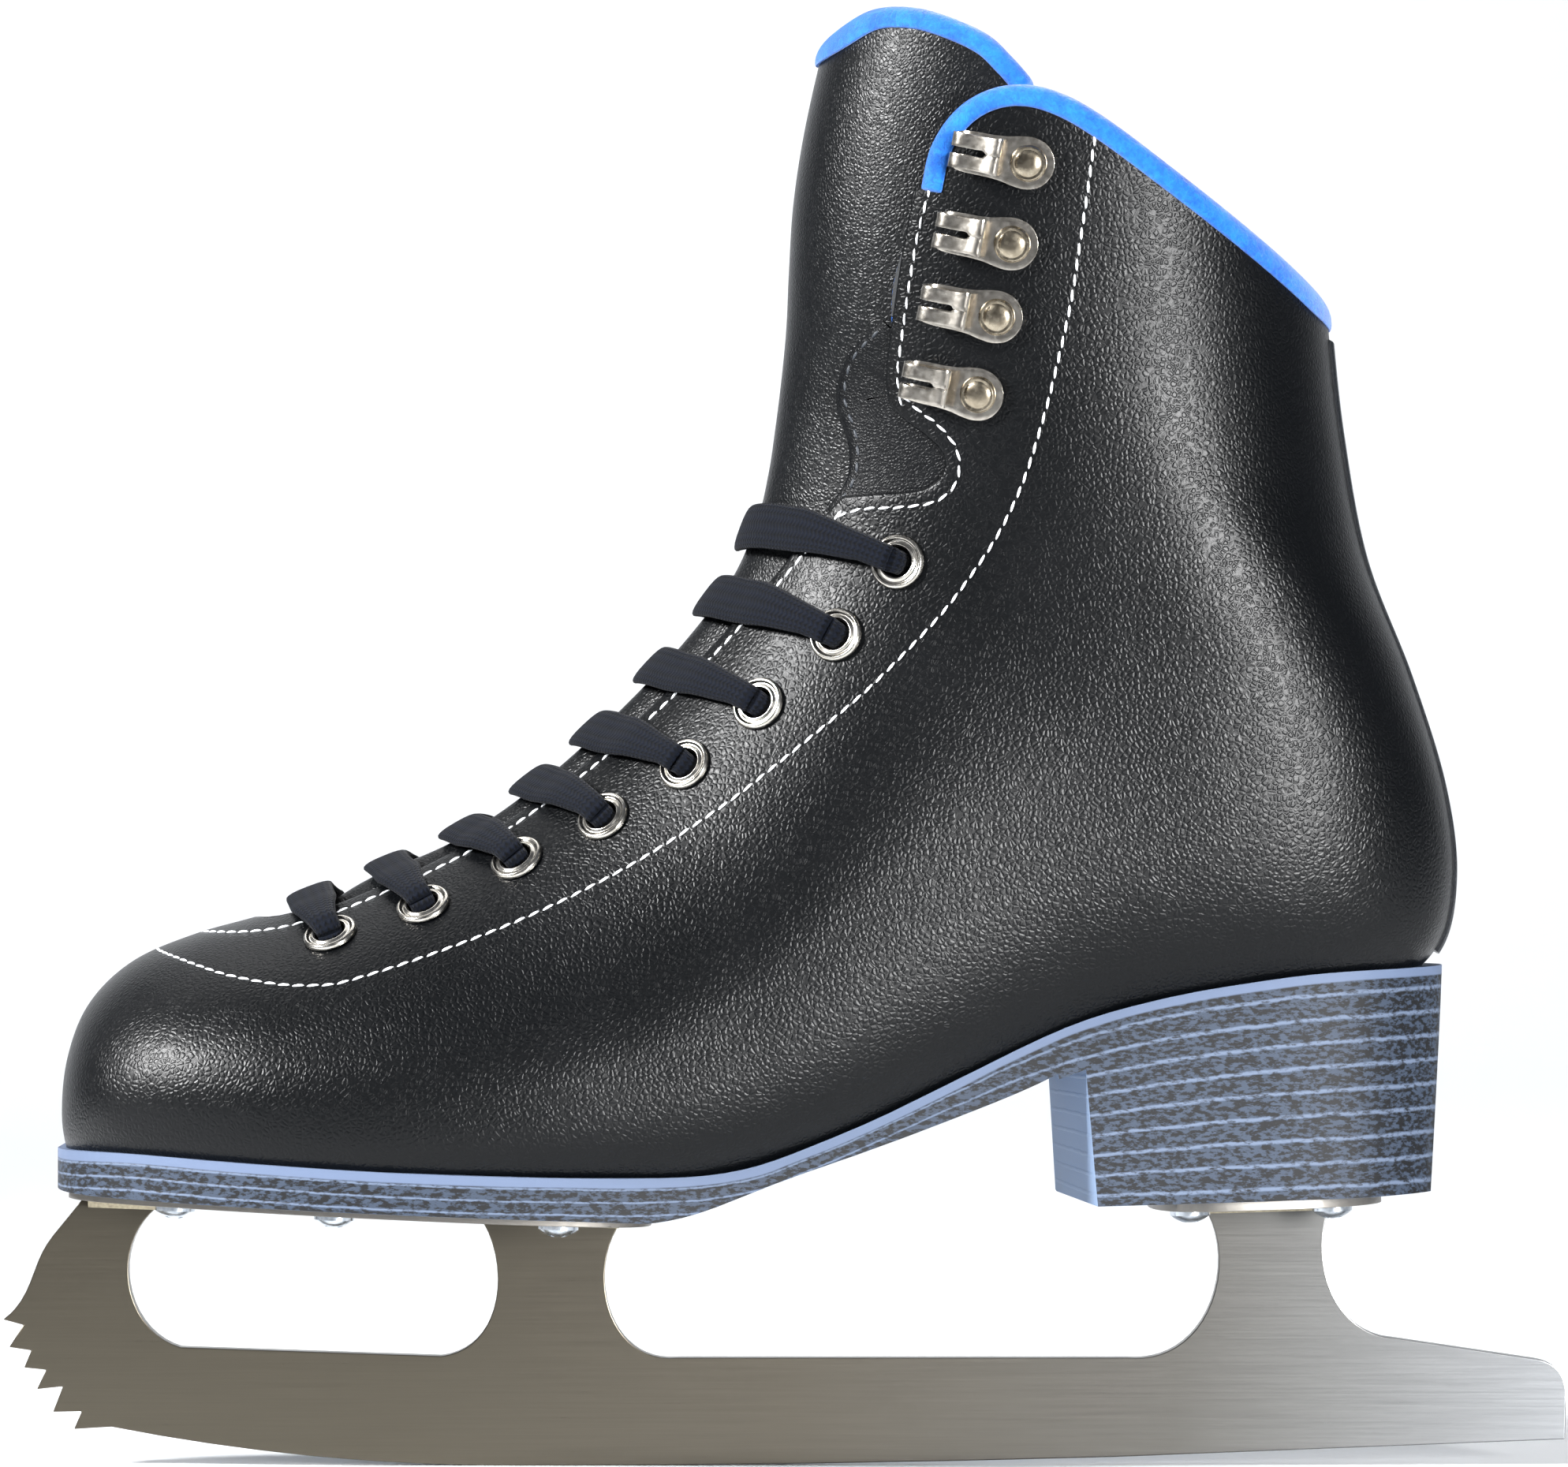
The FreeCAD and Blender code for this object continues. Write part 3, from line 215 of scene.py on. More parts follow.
def section(s):
    """The last's cross-section row at station s, on a smooth curve through the table."""
    s = np.asarray(s, float)
    rows = np.vstack([2 * SECTIONS[0] - SECTIONS[1], SECTIONS, 2 * SECTIONS[-1] - SECTIONS[-2]])
    i = np.clip(s.astype(int), 0, len(SECTIONS) - 2)
    t = (s - i)[..., None]
    a, b, c, d = rows[i], rows[i + 1], rows[i + 2], rows[i + 3]
    return 0.5 * (2 * b + (c - a) * t + (2 * a - 5 * b + 4 * c - d) * t ** 2 + (3 * b - a - 3 * c + d) * t ** 3)


def swing(x):
    """How far the last bends towards the inner side of the foot at x."""
    return 6.0 * np.maximum(0.0, (-55.0 - x) / 75.0) ** 2 - 2.0 * np.exp(-((x - 12.0) / 32.0) ** 2)


def on_last(s, a, side, inset=0.0):
    """Points of the last in mm, at stations s and angles a: 0 at the front or top, pi at the back or bottom."""
    s, a, inset = np.broadcast_arrays(np.asarray(s, float), np.asarray(a, float), np.asarray(inset, float))
    fx, fz, bx, bz, width, widest, front, back = np.moveaxis(section(s), -1, 0)
    length = np.hypot(fx - bx, fz - bz)
    half, width = length / 2 - inset, width - inset
    power = np.where(a <= math.pi / 2, front, back)
    cosine, sine = np.cos(a), np.maximum(np.sin(a), 0)
    reach = np.where(cosine > 0, 1 - widest, 1 + widest)
    p = (widest + reach * np.sign(cosine) * np.abs(cosine) ** (2 / power)) * half / length
    x = (fx + bx) / 2 + (fx - bx) * p
    z = (fz + bz) / 2 + (fz - bz) * p
    return np.stack([x, side * width * sine ** (2 / power) + swing(x), z], axis=-1)


def outward(s, a, side):
    """The last's outward normals."""
    d = 0.01
    along = on_last(np.asarray(s) + d, a, side) - on_last(np.asarray(s) - d, a, side)
    around = on_last(s, np.asarray(a) + d, side) - on_last(s, np.maximum(np.asarray(a) - d, 0), side)
    n = np.cross(along, around) * -side
    n /= np.linalg.norm(n, axis=-1, keepdims=True)
    middle = section(s)
    return n * np.sign((n * (on_last(s, a, side) - np.stack(
        [(middle[..., 0] + middle[..., 2]) / 2, 0 * middle[..., 0],
         (middle[..., 1] + middle[..., 3]) / 2], -1))).sum(-1, keepdims=True))


GUESS_S, GUESS_A = [g.ravel() for g in np.meshgrid(np.linspace(0.3, 22, 300), np.linspace(0.04, 3.1, 120))]
GUESS_XZ = on_last(GUESS_S, GUESS_A, OUTER)[:, ::2]


def find_on_last(line):
    """Stations and angles of the last's points whose side view is the given line of (x, z)."""
    line = np.asarray(line, float)
    nearest = [np.argmin(((GUESS_XZ - p) ** 2).sum(1)) for p in line]
    s, a = GUESS_S[nearest], GUESS_A[nearest]
    d = 1e-4
    for _ in range(14):
        p = on_last(s, a, OUTER)[:, ::2]
        ps = (on_last(s + d, a, OUTER)[:, ::2] - p) / d
        pa = (on_last(s, a + d, OUTER)[:, ::2] - p) / d
        error = line - p
        determinant = ps[:, 0] * pa[:, 1] - pa[:, 0] * ps[:, 1]
        determinant = np.where(np.abs(determinant) < 1e-3, 1e-3, determinant)
        step_s = (error[:, 0] * pa[:, 1] - error[:, 1] * pa[:, 0]) / determinant
        step_a = (error[:, 1] * ps[:, 0] - error[:, 0] * ps[:, 1]) / determinant
        s = np.clip(s + np.clip(step_s, -0.5, 0.5), 0.2, 22.2)
        a = np.clip(a + np.clip(step_a, -0.2, 0.2), 0.01, math.pi - 0.002)
    return s, a


def side_shift(line, distance):
    """A side-view line moved to the right of its direction by distance."""
    tangent = np.gradient(line, axis=0)
    tangent /= np.linalg.norm(tangent, axis=1)[:, None]
    return line + np.column_stack([tangent[:, 1], -tangent[:, 0]]) * np.asarray(distance)[..., None]


def mesh_piece(name, points, faces):
    """A new object from points in mm."""
    mesh = bpy.data.meshes.new(name)
    mesh.from_pydata((np.asarray(points) * MM).tolist(), [], [tuple(map(int, f)) for f in faces])
    obj = bpy.data.objects.new(name, mesh)
    bpy.context.scene.collection.objects.link(obj)
    return obj


def quads(rows, columns, start=0, closed=False):
    """Faces of a grid whose points run column by column; closed joins the last column to the first."""
    ring = columns if closed else columns - 1
    return [(start + i * rows + j, start + i * rows + j + 1,
             start + (i + 1) % columns * rows + j + 1, start + (i + 1) % columns * rows + j)
            for i in range(ring) for j in range(rows - 1)]


def edit(obj, *steps):
    """Runs edit-mode steps on all of an object."""
    bpy.ops.object.select_all(action="DESELECT")
    obj.select_set(True)
    bpy.context.view_layer.objects.active = obj
    bpy.ops.object.mode_set(mode="EDIT")
    bpy.ops.mesh.select_all(action="SELECT")
    for step in steps:
        step()
    bpy.ops.object.mode_set(mode="OBJECT")


def close_seams(obj, gap=0.02):
    """Merges the points that meet at seams and poles, and turns every face outwards."""
    edit(obj, lambda: bpy.ops.mesh.remove_doubles(threshold=gap * MM),
         lambda: bpy.ops.mesh.dissolve_degenerate(threshold=gap * MM),
         lambda: bpy.ops.mesh.normals_make_consistent(inside=False))


def smooth(obj, angle=40):
    bpy.ops.object.select_all(action="DESELECT")
    obj.select_set(True)
    bpy.context.view_layer.objects.active = obj
    bpy.ops.object.shade_smooth_by_angle(angle=math.radians(angle))


def apply_modifier(obj, kind, **settings):
    bpy.ops.object.select_all(action="DESELECT")
    obj.select_set(True)
    bpy.context.view_layer.objects.active = obj
    modifier = obj.modifiers.new(kind.lower(), kind)
    for key, value in settings.items():
        setattr(modifier, key, value)
    bpy.ops.object.modifier_apply(modifier=modifier.name)


def bottom_angle(s):
    """The angle at which a section meets the top of the sole, or pi where it doesn't reach it."""
    feather = smooth_line(FEATHER, 400)
    low, high = np.zeros_like(s), np.full_like(s, math.pi)
    for _ in range(36):
        middle = (low + high) / 2
        p = on_last(s, middle, OUTER)
        above = p[:, 2] > np.interp(p[:, 0], feather[:, 0], feather[:, 1]) - 0.4
        low, high = np.where(above, middle, low), np.where(above, high, middle)
    return low


ROWS = 76
# Where the leather ends: up the middle of the toe, round the front of the throat, and along the facing.
toe_s = np.concatenate([[0.36, 0.40, 0.47, 0.57], np.linspace(0.7, 5.72, 46)])
throat_front = np.array([(5.76, 0.0), (5.77, 0.06), (5.80, 0.12), (5.86, 0.18), (5.97, 0.225), (6.13, 0.255)])
edge_line = np.vstack([smooth_line(THROAT_EDGE, 120)[:-1], smooth_line(NOTCH, 34)[:-1],
                       smooth_line(FLAP_FRONT, 32)])
edge_s, edge_a = find_on_last(edge_line)
edge_s = np.maximum.accumulate(edge_s + np.arange(len(edge_s)) * 1e-6)
top_s = np.concatenate([toe_s, throat_front[:, 0], edge_s])
top_a = np.concatenate([np.zeros_like(toe_s), throat_front[:, 1], edge_a])
bottom_a = bottom_angle(top_s)
share = np.linspace(0, 1, ROWS)
grid_s = np.repeat(top_s[:, None], ROWS, 1)
grid_a = top_a[:, None] + (bottom_a - top_a)[:, None] * share

collar_s, collar_a = find_on_last(side_shift(smooth_line(COLLAR, 90), 2.6))
order = np.argsort(collar_a)
last_row_a = grid_a[-1]
collar_at = np.interp(last_row_a, collar_a[order], collar_s[order])
STRIP = 14
strip_share = np.linspace(0, 1, STRIP + 1)[1:, None]
strip_s = grid_s[-1][None] + (np.maximum(collar_at, top_s[-1]) - top_s[-1])[None] * strip_share
grid_s = np.vstack([grid_s, strip_s])
grid_a = np.vstack([grid_a, np.repeat(last_row_a[None], STRIP, 0)])

# The folded edge turns in over the reinforcement and lining: (distance back from the edge, depth) pairs, the
# first lot measured down from the outer face and the second up from the inner one.
fold_from = len(toe_s)
fold_s, fold_a = top_s[fold_from:], top_a[fold_from:]
FOLD_OVER = [(0.0, 0.0), (-0.34, 0.08), (-0.62, 0.30), (-0.74, 0.62)]
FOLD_UNDER = [(-0.74, 0.62), (-0.62, 0.30), (-0.30, 0.08), (0.2, 0.0), (2.4, 0.0)]
fold_depth = np.full(len(fold_s), FOLD_DEPTH)
in_notch = (edge_line[:, 1] > 173.9) & (edge_line[:, 1] < 204.0)
fold_depth[-len(edge_s):][in_notch] = NOTCH_FOLD_DEPTH
fold_depth = np.convolve(np.pad(fold_depth, 3, mode="edge"), np.ones(7) / 7, mode="valid")


def folded_edge(side):
    """The fold's rows of points, from the outer face of the leather round to the inner face."""
    edge = on_last(fold_s, fold_a, side)
    normal = outward(fold_s, np.maximum(fold_a, 0.03), side)
    tangent = np.gradient(edge, axis=0)
    tangent /= np.linalg.norm(tangent, axis=1)[:, None]
    back = np.cross(tangent, normal) * -side
    return ([edge + back * d - normal * h for d, h in FOLD_OVER]
            + [edge + back * d - normal * (fold_depth - h)[:, None] for d, h in FOLD_UNDER])


points, faces = [], []
for side in (OUTER, INNER):
    start = len(points)
    points += list(on_last(grid_s, grid_a, side).reshape(-1, 3))
    faces += quads(ROWS, len(grid_s), start)
    start = len(points)
    rolled = np.stack(folded_edge(side), axis=1)
    points += list(rolled.reshape(-1, 3))
    faces += quads(len(FOLD_OVER) + len(FOLD_UNDER), len(fold_s), start)
upper = mesh_piece("upper", points, faces)
close_seams(upper)

EYELETS = [(-80.7, 96.4), (-64.1, 101.6), (-47.5, 109.8), (-32.1, 117.3), (-17.6, 126.6), (-4.5, 137.4),
           (9.2, 149.6), (20.1, 162.5)]
EYELET_HOLE = 3.05
eye_s, eye_a = find_on_last(EYELETS)


def seat(s, a, side, turn=0.0, lift=0.0):
    """A frame in mm standing on the last: +Z straight out, and +X towards the boot's front, tipped up by turn."""
    normal = outward(np.array([s]), np.array([a]), side)[0]
    base = on_last(s, a, side) + normal * lift
    nose = np.array([-math.cos(math.radians(turn)), 0, math.sin(math.radians(turn))])
    x_axis = nose - normal * nose.dot(normal)
    x_axis /= np.linalg.norm(x_axis)
    y_axis = np.cross(normal, x_axis)
    return Matrix([[x_axis[k], y_axis[k], normal[k], base[k]] for k in range(3)] + [[0, 0, 0, 1]])


def in_metres(frame_mm):
    matrix = frame_mm.copy()
    matrix.translation = matrix.translation * MM
    return matrix


def apply_place(obj):
    """Puts a finished piece's place into its mesh, so that its object sits at the origin."""
    bpy.ops.object.select_all(action="DESELECT")
    obj.select_set(True)
    bpy.context.view_layer.objects.active = obj
    bpy.ops.object.transform_apply(location=True, rotation=True, scale=True)


def join(name, parts):
    """Joins objects into one, with its place applied."""
    bpy.ops.object.select_all(action="DESELECT")
    for part in parts:
        part.select_set(True)
    bpy.context.view_layer.objects.active = parts[0]
    bpy.ops.object.join()
    joined = bpy.context.object
    joined.name = joined.data.name = name
    apply_place(joined)
    return joined


punches = []
for side in (OUTER, INNER):
    for s, a in zip(eye_s, eye_a):
        bpy.ops.mesh.primitive_cylinder_add(vertices=40, radius=EYELET_HOLE * MM, depth=9 * MM)
        punches.append(bpy.context.object)
        punches[-1].matrix_world = in_metres(seat(s, a, side))
punch = join("punch", punches)
apply_modifier(upper, "SOLIDIFY", thickness=LEATHER * MM, offset=-1, use_even_offset=False)
apply_modifier(upper, "BOOLEAN", operation="DIFFERENCE", object=punch, solver="EXACT")
bpy.data.objects.remove(punch)
smooth(upper, 50)

# Full-grain leather, printed with a fine pebble and finished semi-gloss black: soft, wide highlights that
# break into sparkle along their edges.
PEBBLE = 0.95                   # mm across one pebble
leather, leather_surface = new_material("pebbled_leather", Roughness=0.38)
leather_surface.inputs["Specular IOR Level"].default_value = 0.20


def pebbles(material, surface, size_mm, depth_mm, tones, roughness=(0.36, 0.48)):
    """Leather grain: rounded cells of about size_mm, with a slow drift of tone over the hide."""
    coords = add(material, "ShaderNodeTexCoord").outputs["Object"]
    drift = add(material, "ShaderNodeTexNoise", {"Scale": 420.0, "Detail": 2.0}, {"Vector": coords})
    bent = add(material, "ShaderNodeVectorMath", {"operation": "MULTIPLY_ADD", 1: (0.0007,) * 3},
               {0: drift.outputs["Color"], 2: coords})
    cells = add(material, "ShaderNodeTexVoronoi", {"feature": "DISTANCE_TO_EDGE", "Scale": 1000 / size_mm},
                {"Vector": bent.outputs["Vector"]})
    dome = add(material, "ShaderNodeMapRange", {"From Max": 0.34, "interpolation_type": "SMOOTHSTEP"},
               {"Value": cells.outputs["Distance"]})
    fine = add(material, "ShaderNodeTexNoise", {"Scale": 5200.0, "Detail": 3.0}, {"Vector": coords})
    height = add(material, "ShaderNodeMath", {"operation": "MULTIPLY_ADD", 1: 0.22},
                 {0: fine.outputs["Fac"], 2: dome.outputs["Result"]})
    bump = add(material, "ShaderNodeBump", {"Strength": 1.0, "Distance": depth_mm * MM},
               {"Height": height.outputs["Value"]})
    link(material, bump.outputs["Normal"], surface.inputs["Normal"])
    slow = add(material, "ShaderNodeTexNoise", {"Scale": 38.0, "Detail": 4.0}, {"Vector": coords})
    ramp = add(material, "ShaderNodeValToRGB", links={"Fac": slow.outputs["Fac"]})
    ramp.color_ramp.elements[0].color = linear(tones[0])
    ramp.color_ramp.elements[1].color = linear(tones[1])
    link(material, ramp.outputs["Color"], surface.inputs["Base Color"])
    dull = add(material, "ShaderNodeMapRange", {"To Min": roughness[0], "To Max": roughness[1]},
               {"Value": slow.outputs["Fac"]})
    link(material, dull.outputs["Result"], surface.inputs["Roughness"])


pebbles(leather, leather_surface, PEBBLE, 0.05, ("#020304", "#050608"), (0.31, 0.39))
upper.data.materials.append(leather)
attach(upper, "boot")
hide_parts("upper_leather")


# ---- Stitching on the upper ---------------------------------------------------------------------------
# White bonded polyester thread, lockstitched through leather and reinforcement: a long curved row that marks
# the edge of the reinforcement, a row close to the folded edges, and a second row round the flex notch.

THREAD_WIDTH = 0.50
STITCH_PITCH = 2.75
STITCH_LENGTH = 2.35
NEEDLE_SLANT = 7.0              # degrees that each stitch lies off the row

EYESTAY_LINE = [(-114.6, 93.6), (-109.0, 92.1), (-104.5, 90.8), (-98.5, 89.2), (-89.6, 87.8), (-82.4, 87.7),
                (-76.6, 88.6), (-61.1, 93.6), (-44.0, 100.4), (-27.0, 109.0), (-11.4, 119.0), (-0.7, 127.2),
                (11.8, 137.4), (17.9, 143.0), (26.8, 152.2), (32.5, 159.4), (37.9, 167.6), (42.2, 176.8),
                (45.6, 187.6), (47.6, 195.4), (50.3, 207.5), (51.9, 218.0), (53.2, 227.0), (54.6, 237.6)]
FACING_ROW = 2.1                # from the folded edge, along the side of the boot
NOTCH_SECOND_ROW = 2.0

bpy.ops.mesh.primitive_uv_sphere_add(segments=8, ring_count=6, radius=0.5)
one_stitch = bpy.context.object
one_stitch.name = "one_stitch"
STITCH_POINTS = np.array([v.co for v in one_stitch.data.vertices])
STITCH_FACES = [tuple(f.vertices) for f in one_stitch.data.polygons]
bpy.data.objects.remove(one_stitch)


def sew(rows, pitch=STITCH_PITCH, length=STITCH_LENGTH, width=THREAD_WIDTH, lift=0.12, slant=NEEDLE_SLANT):
    """Stitches along rows of (points, normals): each is a slim, flattened, slightly slanted bead of thread."""
    points, faces = [], []
    for line, normals in rows:
        run = np.concatenate([[0], np.cumsum(np.linalg.norm(np.diff(line, axis=0), axis=1))])
        count = max(2, int(run[-1] / pitch))
        for middle in (np.arange(count) + 0.5) * run[-1] / count:
            at = np.array([np.interp(middle, run, line[:, k]) for k in range(3)])
            ahead = np.array([np.interp(middle + 0.6, run, line[:, k]) for k in range(3)])
            behind = np.array([np.interp(middle - 0.6, run, line[:, k]) for k in range(3)])
            n = np.array([np.interp(middle, run, normals[:, k]) for k in range(3)])
            x = ahead - behind
            x -= n * x.dot(n)
            x /= np.linalg.norm(x)
            y = np.cross(n, x)
            t = math.radians(slant)
            x, y = x * math.cos(t) + y * math.sin(t), y * math.cos(t) - x * math.sin(t)
            start = len(points)
            bead = STITCH_POINTS * (length, width, width * 0.8)
            bead[:, 2] -= 0.35 * np.abs(bead[:, 0] / (length / 2)) ** 3 * width
            points += list(at + n * lift + bead @ np.array([x, y, n]))
            faces += [tuple(start + i for i in f) for f in STITCH_FACES]
    return points, faces


def row_on_upper(s, a, side):
    return on_last(s, a, side), outward(s, a, side)


stay_s, stay_a = find_on_last(smooth_line(EYESTAY_LINE, 260))
facing_line = side_shift(np.vstack([smooth_line(THROAT_EDGE, 90)[:-1]]), FACING_ROW * 0.62)
facing_s, facing_a = find_on_last(facing_line[4:])
flap_line = side_shift(smooth_line([(19.0, 189.6), (18.4, 196.0), (19.4, 204.5), (21.6, 219.0), (24.2, 229.5)],
                                   60), 1.75)
flap_s, flap_a = find_on_last(flap_line)
NOTCH_ROUND = [(9.0, 170.6), (14.0, 172.0), (20.4, 172.2), (26.8, 173.2), (30.4, 176.6), (30.6, 181.8),
               (27.6, 186.2), (23.6, 189.4), (20.6, 192.4)]
notch_s, notch_a = find_on_last(smooth_line(NOTCH_ROUND, 60))
rows = []
for side in (OUTER, INNER):
    for s, a in ((stay_s, stay_a), (facing_s, facing_a), (flap_s, flap_a), (notch_s, notch_a)):
        rows.append(row_on_upper(s, a, side))
# The facing rows are one row, which rounds the bottom of the throat.
turn = np.linspace(0, math.pi / 2, 16)
cross_a = facing_a[0] * np.cos(turn)
cross_s = facing_s[0] - 1.5 * np.sin(turn)
half_rows = [on_last(cross_s, np.maximum(cross_a, 1e-3), side) for side in (OUTER, INNER)]
half_normals = [outward(cross_s, np.maximum(cross_a, 0.03), side) for side in (OUTER, INNER)]
rows.append((np.vstack([half_rows[0], half_rows[1][::-1][1:]]),
             np.vstack([half_normals[0], half_normals[1][::-1][1:]])))
points, faces = sew(rows)
stitching = mesh_piece("upper_stitching", points, faces)
smooth(stitching, 180)

# Bonded polyester thread: bright white with a faint sheen and a tight twist that shows as slanting ribs.
thread, thread_surface = new_material("white_thread", Roughness=0.55, Sheen_Weight=0.15)
thread_surface.inputs["Base Color"].default_value = linear("#e9ecf0")
coords = add(thread, "ShaderNodeTexCoord").outputs["Object"]
twist = add(thread, "ShaderNodeTexWave", {"Scale": 620.0, "Distortion": 1.5, "bands_direction": "DIAGONAL"},
            {"Vector": coords})
bump = add(thread, "ShaderNodeBump", {"Strength": 0.5, "Distance": 0.00006}, {"Height": twist.outputs["Fac"]})
link(thread, bump.outputs["Normal"], thread_surface.inputs["Normal"])
stitching.data.materials.append(thread)
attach(stitching, "boot")


# ---- Collar binding -----------------------------------------------------------------------------------
# A band of bright blue felt rolled over the top of leather, foam and lining together, from one flap front
# round the heel to the other, and sewn down inside.

WALL = 6.4                      # leather, foam and lining together at the collar
BINDING = [(4.2, -0.10), (4.1, -0.55), (3.3, -0.92), (2.2, -1.0), (1.1, -0.72), (0.25, 0.25), (0.0, 1.6),
           (0.0, 3.2), (0.1, 4.9), (0.5, 6.2), (1.5, 7.1), (2.9, 7.4), (4.0, 7.25), (4.3, 6.7)]
COLLAR_STEPS = 170


def pad_share(s, a):
    """Where the ankle foam is at its full thickness."""
    def rise(value, low, high):
        t = np.clip((value - low) / (high - low), 0, 1)
        return t * t * (3 - 2 * t)
    return rise(s, 13.6, 16.5) * rise(a, 0.95, 1.35)


collar_base = smooth_line(COLLAR, COLLAR_STEPS)
profile = []
for drop, depth in BINDING:
    s, a = find_on_last(side_shift(collar_base, drop))
    a[-4:] = np.linspace(a[-4], math.pi, 4)
    thin = 1 - (2.4 / WALL) * (1 - pad_share(s, a))
    profile.append((s, a, depth if depth < 0.3 else depth * thin))
columns = []
for side in (OUTER, INNER):
    rim = np.stack([on_last(s, a, side, depth) for s, a, depth in profile], axis=1)
    columns.append(rim)
ring = np.vstack([columns[0], columns[1][::-1][1:]])
count = len(BINDING)
faces = quads(count, len(ring))
faces += [(i * count + count - 1, i * count, (i + 1) * count, (i + 1) * count + count - 1)
          for i in range(len(ring) - 1)]
faces += [tuple(range(count)), tuple(range(len(ring) * count - 1, (len(ring) - 1) * count - 1, -1))]
binding = mesh_piece("collar_binding_felt", ring.reshape(-1, 3), faces)
close_seams(binding)
apply_modifier(binding, "SUBSURF", levels=1, render_levels=1)
smooth(binding, 180)

# Short-pile polyester felt, needled and brushed: a matt, saturated blue with pale fibre ends and a soft sheen.
FIBRE = 0.30                    # mm across a tuft of pile, drawn coarse enough to show


def felted(material, surface, tones, fibre_mm=FIBRE, depth_mm=0.16):
    """Felt: tangled tufts of fibre_mm, paler where the tips catch light."""
    coords = add(material, "ShaderNodeTexCoord").outputs["Object"]
    tangle = add(material, "ShaderNodeTexNoise", {"Scale": 1000 / fibre_mm / 3, "Detail": 6.0,
                                                 "Roughness": 0.72, "Distortion": 1.1}, {"Vector": coords})
    clumps = add(material, "ShaderNodeTexNoise", {"Scale": 260.0, "Detail": 3.0}, {"Vector": coords})
    both = add(material, "ShaderNodeMath", {"operation": "MULTIPLY_ADD", 1: 0.5},
               {0: clumps.outputs["Fac"], 2: tangle.outputs["Fac"]})
    ramp = add(material, "ShaderNodeValToRGB", links={"Fac": both.outputs["Value"]})
    ramp.color_ramp.elements[0].position, ramp.color_ramp.elements[1].position = 0.48, 1.02
    ramp.color_ramp.elements[0].color, ramp.color_ramp.elements[1].color = linear(tones[0]), linear(tones[1])
    link(material, ramp.outputs["Color"], surface.inputs["Base Color"])
    bump = add(material, "ShaderNodeBump", {"Strength": 0.9, "Distance": depth_mm * MM},
               {"Height": both.outputs["Value"]})
    link(material, bump.outputs["Normal"], surface.inputs["Normal"])


felt, felt_surface = new_material("blue_felt", Roughness=0.95, Sheen_Weight=0.35, Sheen_Roughness=0.5)
felt_surface.inputs["Specular IOR Level"].default_value = 0.2
felted(felt, felt_surface, ("#04409c", "#1a78d2"), depth_mm=0.3)
binding.data.materials.append(felt)
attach(binding, "boot")
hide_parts("collar_binding")


# ---- Gussets and facing reinforcement -----------------------------------------------------------------
# Behind the flex notch a soft leather gusset shows, with an S-shaped front edge that is folded and sewn with
# dark thread. It lies under the upper and carries on as the reinforcement of the facing.

GUSSET_EDGE = [(6.2, 173.4), (9.6, 178.2), (10.0, 184.0), (7.7, 192.2), (9.6, 200.0), (16.0, 206.4)]
GUSSET_TOP, GUSSET_BASE = 1.5, 4.0      # depth of its outer and inner faces below the upper's outer face
GUSSET_REACH = 24.0

gusset_line = smooth_line(GUSSET_EDGE, 70)
gusset_parts = []
GUSSET_PROFILE = [(0.9, GUSSET_BASE), (0.25, 3.6), (0.0, 2.75), (0.25, 1.9), (0.9, GUSSET_TOP)]
for side in (OUTER, INNER):
    rings = []
    for reach, depth in GUSSET_PROFILE + [(2.0, 1.42), (3.2, 1.55), (6.0, 1.6), (12.0, 1.65), (19.0, 1.7)]:
        s, a = find_on_last(side_shift(gusset_line, reach))
        rings.append(on_last(s, a, side, depth))
    grid = np.stack(rings, axis=1)
    count = grid.shape[1]
    gusset_parts.append((grid.reshape(-1, 3), quads(count, len(grid))))
points, faces = [], []
for part_points, part_faces in gusset_parts:
    faces += [tuple(i + len(points) for i in f) for f in part_faces]
    points += list(part_points)
gusset = mesh_piece("flex_gussets", points, faces)
close_seams(gusset)
smooth(gusset, 60)

gusset_rows = []
seam_s, seam_a = find_on_last(side_shift(gusset_line[3:-3], 2.2))
for side in (OUTER, INNER):
    normal = outward(seam_s, seam_a, side)
    gusset_rows.append((on_last(seam_s, seam_a, side) - normal * 1.34, normal))
points, faces = sew(gusset_rows, pitch=2.9, length=2.1, width=0.6)
gusset_thread = mesh_piece("gusset_stitching", points, faces)
smooth(gusset_thread, 180)

soft_leather, soft_surface = new_material("soft_gusset_leather", Roughness=0.42)
soft_surface.inputs["Specular IOR Level"].default_value = 0.16
pebbles(soft_leather, soft_surface, 0.6, 0.04, ("#030405", "#08090c"), (0.34, 0.42))
gusset.data.materials.append(soft_leather)
# Bonded thread in black, a little glossier than the leather beside it.
dark_thread, dark_surface = new_material("black_thread", Roughness=0.5)
# Its colour is a dark grey, lighter than the black thread, as painted sheen so that the row shows on the dark
# leather.
dark_surface.inputs["Base Color"].default_value = linear("#2a2e34")
coords = add(dark_thread, "ShaderNodeTexCoord").outputs["Object"]
ribs = add(dark_thread, "ShaderNodeTexWave", {"Scale": 620.0, "bands_direction": "DIAGONAL"}, {"Vector": coords})
bump = add(dark_thread, "ShaderNodeBump", {"Strength": 0.5, "Distance": 0.00006}, {"Height": ribs.outputs["Fac"]})
link(dark_thread, bump.outputs["Normal"], dark_surface.inputs["Normal"])
gusset_thread.data.materials.append(dark_thread)
for piece in (gusset, gusset_thread):
    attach(piece, "boot")
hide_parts("flex_notch_gussets")


# ---- Tongue -------------------------------------------------------------------------------------------
# A padded tongue: leather outside, foam within and felt lining behind, in one piece from the toe end of the
# throat to above the collar. It is sewn in at its lower end and bends just above the top lace.

